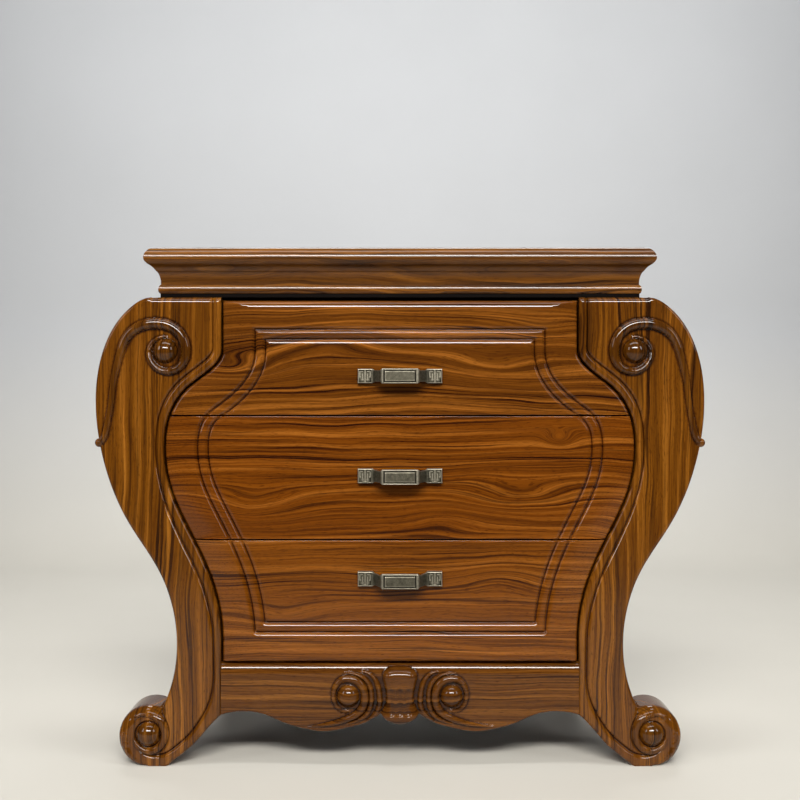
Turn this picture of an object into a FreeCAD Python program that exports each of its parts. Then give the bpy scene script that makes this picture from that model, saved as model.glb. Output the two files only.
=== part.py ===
"""Bombe chest of three drawers, in millimetres.

The front lies towards -Y, +X is to the right seen from the front and +Z is up. The origin is on the
floor, under the centre of the whole chest. Four S-shaped legs, the front ones with scroll feet, carry curved
side panels and four tenoned rails at the front and at the back. Drawers run on runners between those rails,
and a moulded top frame sits on a recessed neck.
"""

import FreeCAD, Part
import math
import os

V = FreeCAD.Vector

# Overall sizes
CHEST_WIDTH = 845.0  # over the knees of the legs
CHEST_HEIGHT = 720.0
CASE_DEPTH = 416.0  # front face of the front legs to the back of the rear legs

# Legs
LEG_REACH = 174.1  # from the waist of the drawer opening out to the knee
FRONT_LEG_THICK = 68.0
REAR_LEG_THICK = 46.0
LEG_EDGE_RADIUS = 5.0
FOOT_HEIGHT = 86.0  # from the floor to the ankle
FOOT_RADIUS_SHARE = 0.471  # of the foot's height
FOOT_EYE_RADIUS = 16.2
FOOT_EYE_HEIGHT = 7.0
FOOT_EYE_INSET = 2.2  # eye's centre towards the leg from the centre of the scroll
FOOT_EYE_LIFT = 3.7  # and above it
FOOT_RING_RADIUS = 18.8
FOOT_RING_GROOVE = 1.8
FOOT_CREASE_ANGLE = 118.0  # degrees round the foot where the leg meets its scroll
FOOT_ARC_ANGLE = 14.0  # degrees, a place on the outside of the scroll
FOOT_CENTRE_SHARE = 0.590  # of the leg's reach
SOLE_INNER_SHARE = 0.425  # of the leg's reach
HEEL_SHARE = 0.8133  # of the foot's height
REAR_FOOT_TAPER = 12.0  # inner edge of a rear leg at the floor, outwards from the opening's waist
REAR_FOOT_FLARE = 4.0  # outer edge of a rear leg at the floor, outwards from the end of its curve

# Outlines of a leg, as shares of its reach out from the opening's waist and of its rise from the foot
SHOULDER_SHARE = 0.550
OUTER_CURVE_SHARES = (
    (0.7315, 0.9730), (0.9100, 0.8945), (1.0, 0.7569), (0.9545, 0.6195), (0.7340, 0.4427),
    (0.4943, 0.3250), (0.3698, 0.2071), (0.3535, 0.1482), (0.3935, 0.0500),
)
INNER_CURVE_SHARES = (
    (0.0, 0.1580), (0.0636, 0.2856), (0.2265, 0.4035), (0.4015, 0.5215), (0.4570, 0.6392),
    (0.4093, 0.7177), (0.2822, 0.7766), (0.0835, 0.8257), (0.0, 0.8699),
)
INSTEP_CURVE_SHARES = (  # up from the floor as a share of the foot's height
    (0.3055, 0.1882), (0.2149, 0.3462), (0.1370, 0.5230), (0.0641, 0.6908),
)

# Scroll carved on each front knee, with a stem that ends in a small ball
KNEE_SCROLL_SHARES = (0.4411, 0.8676)  # of the leg's reach, and of its rise from the foot
KNEE_RELIEF = 6.0  # carving stands this far in front of the leg
KNEE_EYE_RADIUS = 16.5
KNEE_EYE_HEIGHT = 9.0
KNEE_COIL_OUTER = 37.0
KNEE_COIL_INNER = 21.0
KNEE_COIL_START = 71.0  # degrees
KNEE_COIL_END = 430.0  # degrees
KNEE_COIL_STEPS = 16
KNEE_STEM_HALF = 7.4  # half width where the stem enters the coil
KNEE_TAIL_HALF = 3.0  # half width at the inner end of the coil
KNEE_TIP_HALF = 4.0  # half width at the ball
KNEE_BALL_RADIUS = 6.2
KNEE_BALL_DROP = 3.0  # ball's centre behind the leg's front
KNEE_BALL_SHARES = (0.967, 0.6472)
STEM_CURVE_SHARES = (
    (0.9271, 0.6564), (0.8759, 0.7285), (0.8507, 0.7910), (0.8053, 0.8535), (0.7392, 0.9037),
    (0.6330, 0.9287),
)

# Drawer fronts and their running gaps
FRONT_PROUD = 4.0  # drawer fronts stand this far in front of the legs
FRONT_THICK = 24.0
FRONT_EDGE_RADIUS = 11.0
DRAWER_GAP = 2.0  # between one drawer front and the next
FRONT_SIDE_GAP = 2.6  # between a drawer front and the legs
STACK_BOTTOM_SHARE = 0.1039  # of the leg's rise from the foot, to the underside of the lowest drawer front
STACK_TOP_REVEAL = 5.0  # from the highest drawer front up to the top of the legs
DRAWER_HEIGHT_SHARES = (0.339, 0.343, 0.318)  # of the stack, from the lowest drawer

# Pair of grooves that frames the drawer fronts
GROOVE_WIDTH = 4.0
GROOVE_DEPTH = 2.6
GROOVE_SIDE_INSET = 46.4
GROOVE_SIDE_PITCH = 14.5
GROOVE_TOP_INSET = 38.4
GROOVE_BOTTOM_INSET = 40.4
GROOVE_END_PITCH = 13.5

# Drawer boxes
BOX_SIDE_THICK = 12.0
BOX_BACK_THICK = 12.0
BOX_BOTTOM_THICK = 6.0
BOX_BOTTOM_RISE = 9.0  # underside of the bottom above the lower edge of the sides
BOX_SIDE_CLEAR = 8.0  # between a box and the legs
BOX_HEADROOM = 10.0
BOX_REAR_CLEAR = 14.0
BOX_BACK_INSET = 6.0  # back stands in from the ends of the sides
BOX_BACK_DROP = 5.0  # back is lower than the sides
BOX_JOINT_DEPTH = 5.0  # housings and grooves in the drawer's pieces
RUN_CLEAR = 0.3  # under a drawer, and between drawer front and rail

# Pulls
PULL_PITCH = 96.0  # between screw centres
PULL_PROJECTION = 30.0
PULL_END_WIDTH = 20.0
PULL_END_HEIGHT = 19.8
PULL_END_DEPTH = 9.0
PULL_BAR_LENGTH = 48.0
PULL_BAR_HEIGHT = 20.6
PULL_BAR_THICK = 5.5
PULL_WAIST_HEIGHT = 15.6
PULL_WAIST_RUN = 3.5  # slope between the waist and the taller stretches
PULL_RIM = 2.2  # raised rim round the bar's recess
PULL_RECESS_DEPTH = 1.0
PULL_RISE = 3.0  # above the middle of the field inside the grooves
PULL_SCREW_RADIUS = 2.0
PULL_SCREW_BITE = 6.0
SCREW_HEAD_RADIUS = 4.0
SCREW_HEAD_HEIGHT = 2.5

# Rails, runners and panels
RAIL_HEIGHT = 20.0
TENON_LENGTH = 22.0
TENON_THICK = 10.0
TENON_WIDTH = 24.0
RAIL_SCRIBE = 25.0  # blank length past the leg's edge before the end is scribed
RUNNER_BEARING = 12.0  # ledge inside the drawer's side
RUNNER_TONGUE = 8.0
RUNNER_TONGUE_WIDTH = 18.0
RUNNER_TONGUE_THICK = 8.0
GUIDE_CLEAR = 0.5
GUIDE_THICK = 10.0
GUIDE_HEIGHT = 12.0
SIDE_PANEL_RECESS = 9.0  # panel lies this far inside the leg's outline
SIDE_PANEL_THICK = 16.0
SIDE_PANEL_TONGUE = 8.0
SIDE_PANEL_BOTTOM = 84.0  # ends of the panel's lower edge above the floor
SIDE_PANEL_ARCH = 30.0  # rise of the lower edge between the legs
SIDE_PANEL_STEPS = 14
SIDE_RAIL_WIDTH = 40.0
SIDE_RAIL_HEIGHT = 34.0
BACK_THICK = 9.0
BACK_REBATE = 8.0  # back panel's lap on the legs
BOTTOM_PANEL_THICK = 6.0
BOTTOM_PANEL_TONGUE = 5.0

# Apron under the drawers
APRON_SETBACK = 1.0  # behind the front of the legs
APRON_HEIGHT = 95.5  # at its lowest lobe
APRON_TENON_HEIGHT = 30.0
APRON_TENON_THICK = 9.0
APRON_TENON_DROP = 10.0  # from the apron's top down to its tenons
APRON_EDGE_RADIUS = 4.0
APRON_CURVE_SHARES = (  # of the opening's half width and of the apron's height
    (1.0, 0.761), (0.875, 0.710), (0.769, 0.746), (0.646, 0.877), (0.524, 0.964), (0.429, 1.0),
    (0.284, 0.942), (0.164, 0.841), (0.103, 0.732),
)
APRON_RELIEF = 5.0
APRON_COIL_SHARES = (0.285, 0.500)  # centre of each carved coil
APRON_EYE_RADIUS = 13.5
APRON_EYE_HEIGHT = 8.0
APRON_COIL_OUTER = 25.0
APRON_COIL_INNER = 20.5
APRON_COIL_START = -20.0  # degrees
APRON_COIL_END = 290.0  # degrees
APRON_COIL_STEPS = 14
APRON_COIL_HALF = 6.0
APRON_COIL_END_HALF = 2.6
APRON_TIP_HALF = 2.0
APRON_TAIL_SHARES = ((0.500, 0.915), (0.430, 0.925), (0.330, 0.885), (0.235, 0.800))
SHIELD_RELIEF = 8.0
SHIELD_CUSP_SHARES = (0.0, 0.906)  # lowest point of the shield
SHIELD_SIDE_SHARES = (  # right edge of the shield, from its top down to its lowest point
    (0.055, 0.080), (0.080, 0.200), (0.066, 0.420), (0.074, 0.600), (0.098, 0.730), (0.070, 0.862),
)

# Moulded top on its recessed neck
NECK_HEIGHT = 5.0
NECK_INSET = 11.0  # inside the shoulders of the legs
NECK_SETBACK = 8.0  # behind the front of the legs
NECK_WIDTH = 40.0
TOP_THICK = 65.0
TOP_OVERHANG = 20.0  # nose of the moulding past the neck
TOP_FRAME_WIDTH = 62.0  # frame member from the neck inwards
TOP_PANEL_THICK = 18.0
TOP_PANEL_TONGUE = 8.0
TOP_PANEL_TONGUE_THICK = 6.0
BEAD_SHARES = ((0.0, 0.0), (0.14, 0.09), (-0.02, 0.195))  # of the overhang and of the top's thickness
COVE_SHARES = ((-0.02, 0.255), (0.078, 0.395), (0.42, 0.545), (0.755, 0.618))
NOSE_SHARES = ((0.83, 0.642), (1.0, 0.752), (0.905, 0.851), (0.70, 0.927), (0.35, 0.977), (-0.40, 1.0))

# Fasteners of the carcase
WOOD_SCREW_RADIUS = 2.0
TOP_SCREW_BITE = 22.0  # into the top's frame
BACK_SCREW_BITE = 14.0  # into the rear rails
BACK_SCREW_HEAD_RADIUS = 3.6
BACK_SCREW_HEAD_DEPTH = 2.6
TOP_SCREW_SPREAD_SHARE = 0.72  # of the opening's half width
BACK_SCREW_SPREAD_SHARE = 0.80  # of the opening's half width

PLANE_TOLERANCE = 0.01  # an edge this close to a plane lies in it

# Sizes and places that follow
LEG_HEIGHT = CHEST_HEIGHT - TOP_THICK - NECK_HEIGHT
FOOT_RADIUS = FOOT_RADIUS_SHARE * FOOT_HEIGHT
LEG_RISE = LEG_HEIGHT - FOOT_HEIGHT
OPENING_HALF = CHEST_WIDTH / 2 - LEG_REACH
PULL_REACH = PULL_PROJECTION + FRONT_PROUD
FRONT_Y = PULL_REACH - (CASE_DEPTH + PULL_REACH) / 2
REAR_Y = FRONT_Y + CASE_DEPTH
FRONT_LEG_BACK = FRONT_Y + FRONT_LEG_THICK
REAR_LEG_FRONT = REAR_Y - REAR_LEG_THICK
BACK_PANEL_FRONT = REAR_Y - BACK_THICK
FACE_Y = FRONT_Y - FRONT_PROUD  # front faces of the drawers
FACE_BACK = FACE_Y + FRONT_THICK
RAIL_FRONT = FACE_BACK + RUN_CLEAR
STACK_BOTTOM = FOOT_HEIGHT + STACK_BOTTOM_SHARE * LEG_RISE
STACK_TOP = LEG_HEIGHT - STACK_TOP_REVEAL
BOX_BACK = BACK_PANEL_FRONT - BOX_REAR_CLEAR
APRON_TOP = STACK_BOTTOM - DRAWER_GAP
APRON_FRONT = FRONT_Y + APRON_SETBACK
SHOULDER_X = OPENING_HALF + SHOULDER_SHARE * LEG_REACH
NECK_HALF = SHOULDER_X - NECK_INSET
NECK_FRONT = FRONT_Y + NECK_SETBACK
TOP_BASE = LEG_HEIGHT + NECK_HEIGHT
FRAME_HALF = NECK_HALF - TOP_FRAME_WIDTH
S_LOW = FOOT_HEIGHT + INNER_CURVE_SHARES[0][1] * LEG_RISE  # the opening's S-curve begins
S_HIGH = FOOT_HEIGHT + INNER_CURVE_SHARES[-1][1] * LEG_RISE  # and ends

DRAWERS = ("lower", "middle", "upper")
RAILS = ("bottom", "lower", "upper", "top")
FRONT_BREAKS = [STACK_BOTTOM]
for height_share in DRAWER_HEIGHT_SHARES:
    FRONT_BREAKS.append(FRONT_BREAKS[-1] + height_share * (STACK_TOP - STACK_BOTTOM))
RAIL_LEVELS = FRONT_BREAKS[:-1] + [LEG_HEIGHT - RAIL_HEIGHT / 2]


def block(x0, x1, y0, y1, z0, z1):
    """A box between two corners."""
    return Part.makeBox(x1 - x0, y1 - y0, z1 - z0, V(x0, y0, z0))


def drawn(point):
    """A point of an outline, drawn in the plane y = 0."""
    return V(point[0], 0, point[1])


def straight(start, end):
    """A straight edge of an outline."""
    return Part.makeLine(drawn(start), drawn(end))


def curve(points, start=None, end=None):
    """A smooth curve through the points, with the tangents at its ends where they are given."""
    options = {"Points": [drawn(point) for point in points]}
    if start is not None:
        options["InitialTangent"] = drawn(start)
    if end is not None:
        options["FinalTangent"] = drawn(end)
    spline = Part.BSplineCurve()
    spline.interpolate(**options)
    return spline


def outline(points):
    """Straight edges that join the points and come back to the first."""
    return [straight(points[i - 1], points[i]) for i in range(len(points))]


def slab(edges, y0, y1):
    """An outline drawn at y = 0, given a thickness from y0 to y1."""
    face = Part.Face(Part.Wire(edges))
    return face.extrude(V(0, y1 - y0, 0)).translated(V(0, y0, 0))


def mirrored(shape):
    """The same piece for the left side."""
    return shape.mirror(V(0, 0, 0), V(1, 0, 0))


def joined(first, others):
    """Shapes that overlap or touch, as one solid."""
    return first.fuse(others).removeSplitter()


def leg_point(shares):
    """A place on the right leg above its foot, from shares of its reach and rise."""
    return OPENING_HALF + shares[0] * LEG_REACH, FOOT_HEIGHT + shares[1] * LEG_RISE


def apron_point(shares, side=1):
    """A place on the apron, from shares of the opening's half width and of the apron's height."""
    return side * shares[0] * OPENING_HALF, APRON_TOP - shares[1] * APRON_HEIGHT


def inner_curve(inset=0, side=1):
    """The S-curve of a leg's inner edge, upwards, moved away from the leg by an inset."""
    edge = curve([leg_point(shares) for shares in INNER_CURVE_SHARES], (0, 1), (0, 1))
    points = []
    for knot in edge.getKnots():
        place, run = edge.value(knot), edge.tangent(knot)[0]
        points.append((side * (place.x - inset * run.z), place.z + inset * run.x))
    return curve(points, (0, 1), (0, 1))


def foot_centre():
    """The centre of the right foot's scroll."""
    return OPENING_HALF + FOOT_CENTRE_SHARE * LEG_REACH, FOOT_RADIUS


def foot_point(degrees):
    """A place on the rim of the right foot's scroll."""
    x, z = foot_centre()
    turn = math.radians(degrees)
    return x + FOOT_RADIUS * math.cos(turn), z + FOOT_RADIUS * math.sin(turn)


def outer_curve():
    """The outer edge of the right leg, from the shoulder down to the scroll of the foot."""
    points = [leg_point(shares) for shares in OUTER_CURVE_SHARES]
    points = [(SHOULDER_X, LEG_HEIGHT)] + points + [foot_point(FOOT_CREASE_ANGLE)]
    return curve(points, (1, 0))


def reach_height(spline, height):
    """The parameter at which a curve that only rises, or only falls, reaches a height."""
    low, high = spline.FirstParameter, spline.LastParameter
    rising = spline.value(high).z > spline.value(low).z
    for _ in range(60):
        middle = (low + high) / 2
        if (spline.value(middle).z < height) == rising:
            low = middle
        else:
            high = middle
    return (low + high) / 2


def opening_half(height):
    """Half the width between the legs at a height."""
    if not S_LOW < height < S_HIGH:
        return OPENING_HALF
    spline = inner_curve()
    return spline.value(reach_height(spline, height)).x


def opening_slab(inset, y0, y1, z0, z1):
    """What fills the space between the legs, less an inset at each side, between two heights."""
    half = OPENING_HALF - inset
    edges = [straight((-half, 0), (half, 0))]
    edges += [straight((half, 0), (half, S_LOW))]
    edges += [inner_curve(inset).toShape()]
    edges += [straight((half, S_HIGH), (half, LEG_HEIGHT))]
    edges += [straight((half, LEG_HEIGHT), (-half, LEG_HEIGHT))]
    edges += [straight((-half, LEG_HEIGHT), (-half, S_HIGH))]
    edges += [inner_curve(inset, -1).toShape()]
    edges += [straight((-half, S_LOW), (-half, 0))]
    return slab(edges, y0, y1).common(block(-CHEST_WIDTH, CHEST_WIDTH, y0, y1, z0, z1))


def front_edges(shape, y, above=0):
    """The edges of a shape that lie in the plane y and wholly above a height."""
    found = []
    for edge in shape.Edges:
        box = edge.BoundBox
        away = max(abs(box.YMin - y), abs(box.YMax - y))
        if away < PLANE_TOLERANCE and box.ZMin > above + PLANE_TOLERANCE:
            found.append(edge)
    return found


def scroll_foot():
    """The edges of a front foot: its scroll, sole and instep, from the crease to the opening's waist."""
    sole_outer = (foot_centre()[0], 0)
    sole_inner = (OPENING_HALF + SOLE_INNER_SHARE * LEG_REACH, 0)
    heel = (OPENING_HALF, HEEL_SHARE * FOOT_HEIGHT)
    rim = [drawn(foot_point(angle)) for angle in (FOOT_CREASE_ANGLE, FOOT_ARC_ANGLE)]
    instep = [(OPENING_HALF + out * LEG_REACH, up * FOOT_HEIGHT) for out, up in INSTEP_CURVE_SHARES]
    edges = [Part.Arc(*rim, drawn(sole_outer)).toShape(), straight(sole_outer, sole_inner)]
    return edges + [curve([sole_inner] + instep + [heel]).toShape(), straight(heel, (OPENING_HALF, S_LOW))]


def plain_foot():
    """The straight edges of a rear foot, from the end of the outer curve to the opening's waist."""
    end = foot_point(FOOT_CREASE_ANGLE)
    points = [end, (end[0] + REAR_FOOT_FLARE, 0), (OPENING_HALF + REAR_FOOT_TAPER, 0), (OPENING_HALF, S_LOW)]
    return [straight(a, b) for a, b in zip(points, points[1:])]


def leg_blank(y0, y1, foot):
    """The right leg, sawn to its outline, with the edges of its foot given."""
    top_inner = (OPENING_HALF, LEG_HEIGHT)
    edges = [straight(top_inner, (SHOULDER_X, LEG_HEIGHT)), outer_curve().toShape()] + foot
    edges += [inner_curve().toShape(), straight((OPENING_HALF, S_HIGH), top_inner)]
    return slab(edges, y0, y1)


def band(points, y0, y1):
    """A flat strip through points of (x, z, half width)."""
    left, right = [], []
    for i, (x, z, half) in enumerate(points):
        before = points[max(i - 1, 0)]
        after = points[min(i + 1, len(points) - 1)]
        run = math.hypot(after[0] - before[0], after[1] - before[1])
        across_x = (before[1] - after[1]) / run
        across_z = (after[0] - before[0]) / run
        left.append((x + half * across_x, z + half * across_z))
        right.append((x - half * across_x, z - half * across_z))
    edges = [curve(left).toShape(), straight(left[-1], right[-1])]
    edges += [curve(right[::-1]).toShape(), straight(right[0], left[0])]
    return slab(edges, y0, y1)


def coil(centre, reaches, degrees, halves, steps):
    """Points of (x, z, half width) along a coil, from its first reach, angle and half width to its last."""
    points = []
    for i in range(steps + 1):
        part = i / steps
        reach, angle, half = (a + (b - a) * part for a, b in (reaches, degrees, halves))
        turn = math.radians(angle)
        points.append((centre[0] + reach * math.cos(turn), centre[1] + reach * math.sin(turn), half))
    return points


def dome(centre, y, radius, height):
    """A carved eye: the cap of a sphere in front of the plane y, with its root behind that plane."""
    x, z = centre
    ball = (radius ** 2 + height ** 2) / (2 * height)
    cap = Part.makeSphere(ball, V(x, y + ball - height, z))
    far = 2 * ball
    return cap.common(block(x - far, x + far, y - 2 * height, y + height, z - far, z + far))


def knee_carving():
    """Scroll, stem, ball and eye on the right front knee."""
    centre = leg_point(KNEE_SCROLL_SHARES)
    count = len(STEM_CURVE_SHARES)
    path = []
    for i, shares in enumerate(STEM_CURVE_SHARES):
        half = KNEE_TIP_HALF + (KNEE_STEM_HALF - KNEE_TIP_HALF) * i / count
        path.append((*leg_point(shares), half))
    path += coil(centre, (KNEE_COIL_OUTER, KNEE_COIL_INNER), (KNEE_COIL_START, KNEE_COIL_END),
                 (KNEE_STEM_HALF, KNEE_TAIL_HALF), KNEE_COIL_STEPS)
    ball_x, ball_z = leg_point(KNEE_BALL_SHARES)
    scroll = band(path, FRONT_Y - KNEE_RELIEF, FRONT_Y + KNEE_RELIEF)
    ball = Part.makeSphere(KNEE_BALL_RADIUS, V(ball_x, FRONT_Y + KNEE_BALL_DROP, ball_z))
    return [scroll, ball, dome(centre, FRONT_Y, KNEE_EYE_RADIUS, KNEE_EYE_HEIGHT)]


def front_leg():
    """The right front leg with its carving, before its mortises."""
    blank = leg_blank(FRONT_Y, FRONT_LEG_BACK, scroll_foot())
    leg = blank.makeFillet(LEG_EDGE_RADIUS, front_edges(blank, FRONT_Y))
    x, z = foot_centre()[0] - FOOT_EYE_INSET, foot_centre()[1] + FOOT_EYE_LIFT
    leg = leg.cut(Part.makeTorus(FOOT_RING_RADIUS, FOOT_RING_GROOVE, V(x, FRONT_Y, z), V(0, 1, 0)))
    eye = dome((x, z), FRONT_Y, FOOT_EYE_RADIUS, FOOT_EYE_HEIGHT)
    return joined(leg, knee_carving() + [eye])


def rail_tenon(level, y0, y1):
    """The right tenon of a rail, with its root inside the rail."""
    half = opening_half(level)
    middle = (y0 + y1) / 2
    return block(half - RAIL_HEIGHT, half + TENON_LENGTH, middle - TENON_WIDTH / 2, middle + TENON_WIDTH / 2,
                 level - TENON_THICK / 2, level + TENON_THICK / 2)


def rail(level, y0, y1, leg):
    """A rail between two legs, scribed to their edges and tenoned into them."""
    half = opening_half(level) + RAIL_SCRIBE
    blank = block(-half, half, y0, y1, level - RAIL_HEIGHT / 2, level + RAIL_HEIGHT / 2)
    tenon = rail_tenon(level, y0, y1)
    return joined(blank.cut([leg, mirrored(leg)]), [tenon, mirrored(tenon)])


def side_tenons():
    """The tenons of the right side rail, as one bar from the front leg to the rear leg."""
    x, z = SHOULDER_X - SIDE_RAIL_WIDTH / 2, LEG_HEIGHT - SIDE_RAIL_HEIGHT / 2
    return block(x - TENON_WIDTH / 2, x + TENON_WIDTH / 2, FRONT_LEG_BACK - TENON_LENGTH,
                 REAR_LEG_FRONT + TENON_LENGTH, z - TENON_THICK / 2, z + TENON_THICK / 2)


def side_rail():
    """The right rail at the shoulders, tenoned into the front and rear legs."""
    body = block(SHOULDER_X - SIDE_RAIL_WIDTH, SHOULDER_X, FRONT_LEG_BACK, REAR_LEG_FRONT,
                 LEG_HEIGHT - SIDE_RAIL_HEIGHT, LEG_HEIGHT)
    return joined(body, [side_tenons()])


def side_panel():
    """The right side panel: a board that follows the legs, with an arched lower edge."""
    spline = outer_curve()
    start, end = spline.FirstParameter, reach_height(spline, SIDE_PANEL_BOTTOM)
    outside, inside = [], []
    for i in range(SIDE_PANEL_STEPS + 1):
        place = start + (end - start) * i / SIDE_PANEL_STEPS
        point, along = spline.value(place), spline.tangent(place)[0]
        for line, depth in ((outside, SIDE_PANEL_RECESS), (inside, SIDE_PANEL_RECESS + SIDE_PANEL_THICK)):
            line.append((point.x + depth * along.z, point.z - depth * along.x))
    edges = [curve(outside).toShape(), straight(outside[-1], inside[-1])]
    edges += [curve(inside[::-1]).toShape(), straight(inside[0], outside[0])]
    y0, y1 = FRONT_LEG_BACK - SIDE_PANEL_TONGUE, REAR_LEG_FRONT + SIDE_PANEL_TONGUE
    return slab(edges, y0, y1).cut([side_arch(), side_rail()])


def side_arch():
    """The space under the right side panel, from leg to leg."""
    low = SIDE_PANEL_BOTTOM - SIDE_PANEL_ARCH
    ends = [V(0, FRONT_LEG_BACK, low), V(0, REAR_LEG_FRONT, low)]
    middle = V(0, (FRONT_LEG_BACK + REAR_LEG_FRONT) / 2, SIDE_PANEL_BOTTOM + SIDE_PANEL_ARCH)
    arch = Part.Arc(ends[0], middle, ends[1]).toShape()
    face = Part.Face(Part.Wire([arch, Part.makeLine(ends[1], ends[0])]))
    return face.extrude(V(CHEST_WIDTH, 0, 0))


def apron_tenon():
    """The right tenon of the apron, with its root inside the apron."""
    middle, high = (APRON_FRONT + RAIL_FRONT) / 2, APRON_TOP - APRON_TENON_DROP
    return block(OPENING_HALF - TENON_LENGTH, OPENING_HALF + TENON_LENGTH, middle - APRON_TENON_THICK / 2,
                 middle + APRON_TENON_THICK / 2, high - APRON_TENON_HEIGHT, high)


def apron_board():
    """The apron, sawn to its outline, with its upper edge rounded."""
    right = [apron_point(shares) for shares in APRON_CURVE_SHARES]
    left = [apron_point(shares, -1) for shares in APRON_CURVE_SHARES]
    lobe = Part.Arc(drawn(right[-1]), drawn(apron_point(SHIELD_CUSP_SHARES)), drawn(left[-1]))
    top_right, top_left = (OPENING_HALF, APRON_TOP), (-OPENING_HALF, APRON_TOP)
    edges = [straight(top_left, top_right), straight(top_right, right[0]), curve(right).toShape()]
    edges += [lobe.toShape(), curve(left[::-1]).toShape(), straight(left[0], top_left)]
    board = slab(edges, APRON_FRONT, RAIL_FRONT)
    return board.makeFillet(APRON_EDGE_RADIUS, front_edges(board, APRON_FRONT, right[0][1]))


def apron():
    """The carved apron between the front legs."""
    halves = [apron_tenon()] + apron_carving()
    return joined(apron_board(), halves + [mirrored(piece) for piece in halves] + [shield()])


def apron_carving():
    """Coil, tail and eye to the right of the apron's shield."""
    centre = apron_point(APRON_COIL_SHARES)
    count = len(APRON_TAIL_SHARES)
    path = []
    for i, shares in enumerate(APRON_TAIL_SHARES):
        half = APRON_TIP_HALF + (APRON_COIL_HALF - APRON_TIP_HALF) * i / count
        path.append((*apron_point(shares), half))
    winding = coil((0, 0), (APRON_COIL_OUTER, APRON_COIL_INNER), (APRON_COIL_START, APRON_COIL_END),
                   (APRON_COIL_HALF, APRON_COIL_END_HALF), APRON_COIL_STEPS)
    path += [(centre[0] - x, centre[1] + z, half) for x, z, half in winding]
    strip = band(path, APRON_FRONT - APRON_RELIEF, APRON_FRONT + APRON_RELIEF)
    return [strip, dome(centre, APRON_FRONT, APRON_EYE_RADIUS, APRON_EYE_HEIGHT)]


def shield():
    """The raised shield in the middle of the apron."""
    right = [apron_point(shares) for shares in SHIELD_SIDE_SHARES]
    left = [apron_point(shares, -1) for shares in SHIELD_SIDE_SHARES]
    cusp = apron_point(SHIELD_CUSP_SHARES)
    lobe = Part.Arc(drawn(right[-1]), drawn(cusp), drawn(left[-1])).toShape()
    edges = [straight(left[0], right[0]), curve(right).toShape(), lobe, curve(left[::-1]).toShape()]
    return slab(edges, APRON_FRONT - SHIELD_RELIEF, APRON_FRONT + SHIELD_RELIEF)


def box_levels(i):
    """Lower and upper edge of a drawer's sides."""
    low = RAIL_LEVELS[i] + RAIL_HEIGHT / 2 + RUN_CLEAR
    return low, RAIL_LEVELS[i + 1] - RAIL_HEIGHT / 2 - BOX_HEADROOM


def box_half(i):
    """Half the width of a drawer's box."""
    return min(opening_half(level) for level in box_levels(i)) - BOX_SIDE_CLEAR


def runner(i):
    """The right runner of a drawer, with the guide beside the drawer's side."""
    half = box_half(i)
    x0, x1 = half - BOX_SIDE_THICK - RUNNER_BEARING, half + GUIDE_CLEAR + GUIDE_THICK
    level = RAIL_LEVELS[i]
    low, high = level - RAIL_HEIGHT / 2, level + RAIL_HEIGHT / 2
    base = block(x0, x1, FRONT_LEG_BACK, REAR_LEG_FRONT, low, high)
    guide = block(half + GUIDE_CLEAR, x1, FRONT_LEG_BACK, REAR_LEG_FRONT, low, high + GUIDE_HEIGHT)
    tongue = block(x0, x0 + RUNNER_TONGUE_WIDTH, FRONT_LEG_BACK - RUNNER_TONGUE,
                   REAR_LEG_FRONT + RUNNER_TONGUE, level - RUNNER_TONGUE_THICK / 2,
                   level + RUNNER_TONGUE_THICK / 2)
    return joined(base, [guide, tongue])


def bottom_panel():
    """The dust board between the lower runners and the bottom rails."""
    half = box_half(0) - BOX_SIDE_THICK - RUNNER_BEARING + BOTTOM_PANEL_TONGUE
    level = RAIL_LEVELS[0]
    return block(-half, half, FRONT_LEG_BACK - BOTTOM_PANEL_TONGUE, REAR_LEG_FRONT + BOTTOM_PANEL_TONGUE,
                 level - BOTTOM_PANEL_THICK / 2, level + BOTTOM_PANEL_THICK / 2)


def moulding_profile(line):
    """The section of the moulded top, outwards in x from the line of the neck."""
    def place(shares):
        return line + shares[0] * TOP_OVERHANG, TOP_BASE + shares[1] * TOP_THICK
    bead = [place(shares) for shares in BEAD_SHARES]
    cove = [place(shares) for shares in COVE_SHARES]
    nose = [place(shares) for shares in NOSE_SHARES]
    back_low = (line - TOP_FRAME_WIDTH, TOP_BASE)
    back_high = (line - TOP_FRAME_WIDTH, TOP_BASE + TOP_THICK)
    edges = [straight(back_low, bead[0]), Part.Arc(*[drawn(p) for p in bead]).toShape()]
    edges += [straight(bead[-1], cove[0]), curve(cove, (0, 1)).toShape(), straight(cove[-1], nose[0])]
    edges += [curve(nose, None, (-1, 0)).toShape(), straight(nose[-1], back_high)]
    edges += [straight(back_high, back_low)]
    return edges


def mitre():
    """All that belongs to the front moulding: in front of the two mitred corners."""
    near, far = TOP_OVERHANG * 2, TOP_FRAME_WIDTH
    corners = [(NECK_HALF + near, NECK_FRONT - near), (FRAME_HALF, NECK_FRONT + far)]
    corners += [(-x, y) for x, y in reversed(corners)]
    points = [V(x, y, TOP_BASE) for x, y in corners + corners[:1]]
    return Part.Face(Part.makePolygon(points)).extrude(V(0, 0, TOP_THICK))


def top_mouldings():
    """The front and right members of the top's frame, mitred."""
    side = slab(moulding_profile(NECK_HALF), NECK_FRONT - TOP_OVERHANG * 2, REAR_Y).cut(mitre())
    front = slab(moulding_profile(0), -CHEST_WIDTH, CHEST_WIDTH)
    front.rotate(V(0, 0, 0), V(0, 0, 1), -90)
    return front.translated(V(0, NECK_FRONT, 0)).common(mitre()), side


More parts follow.
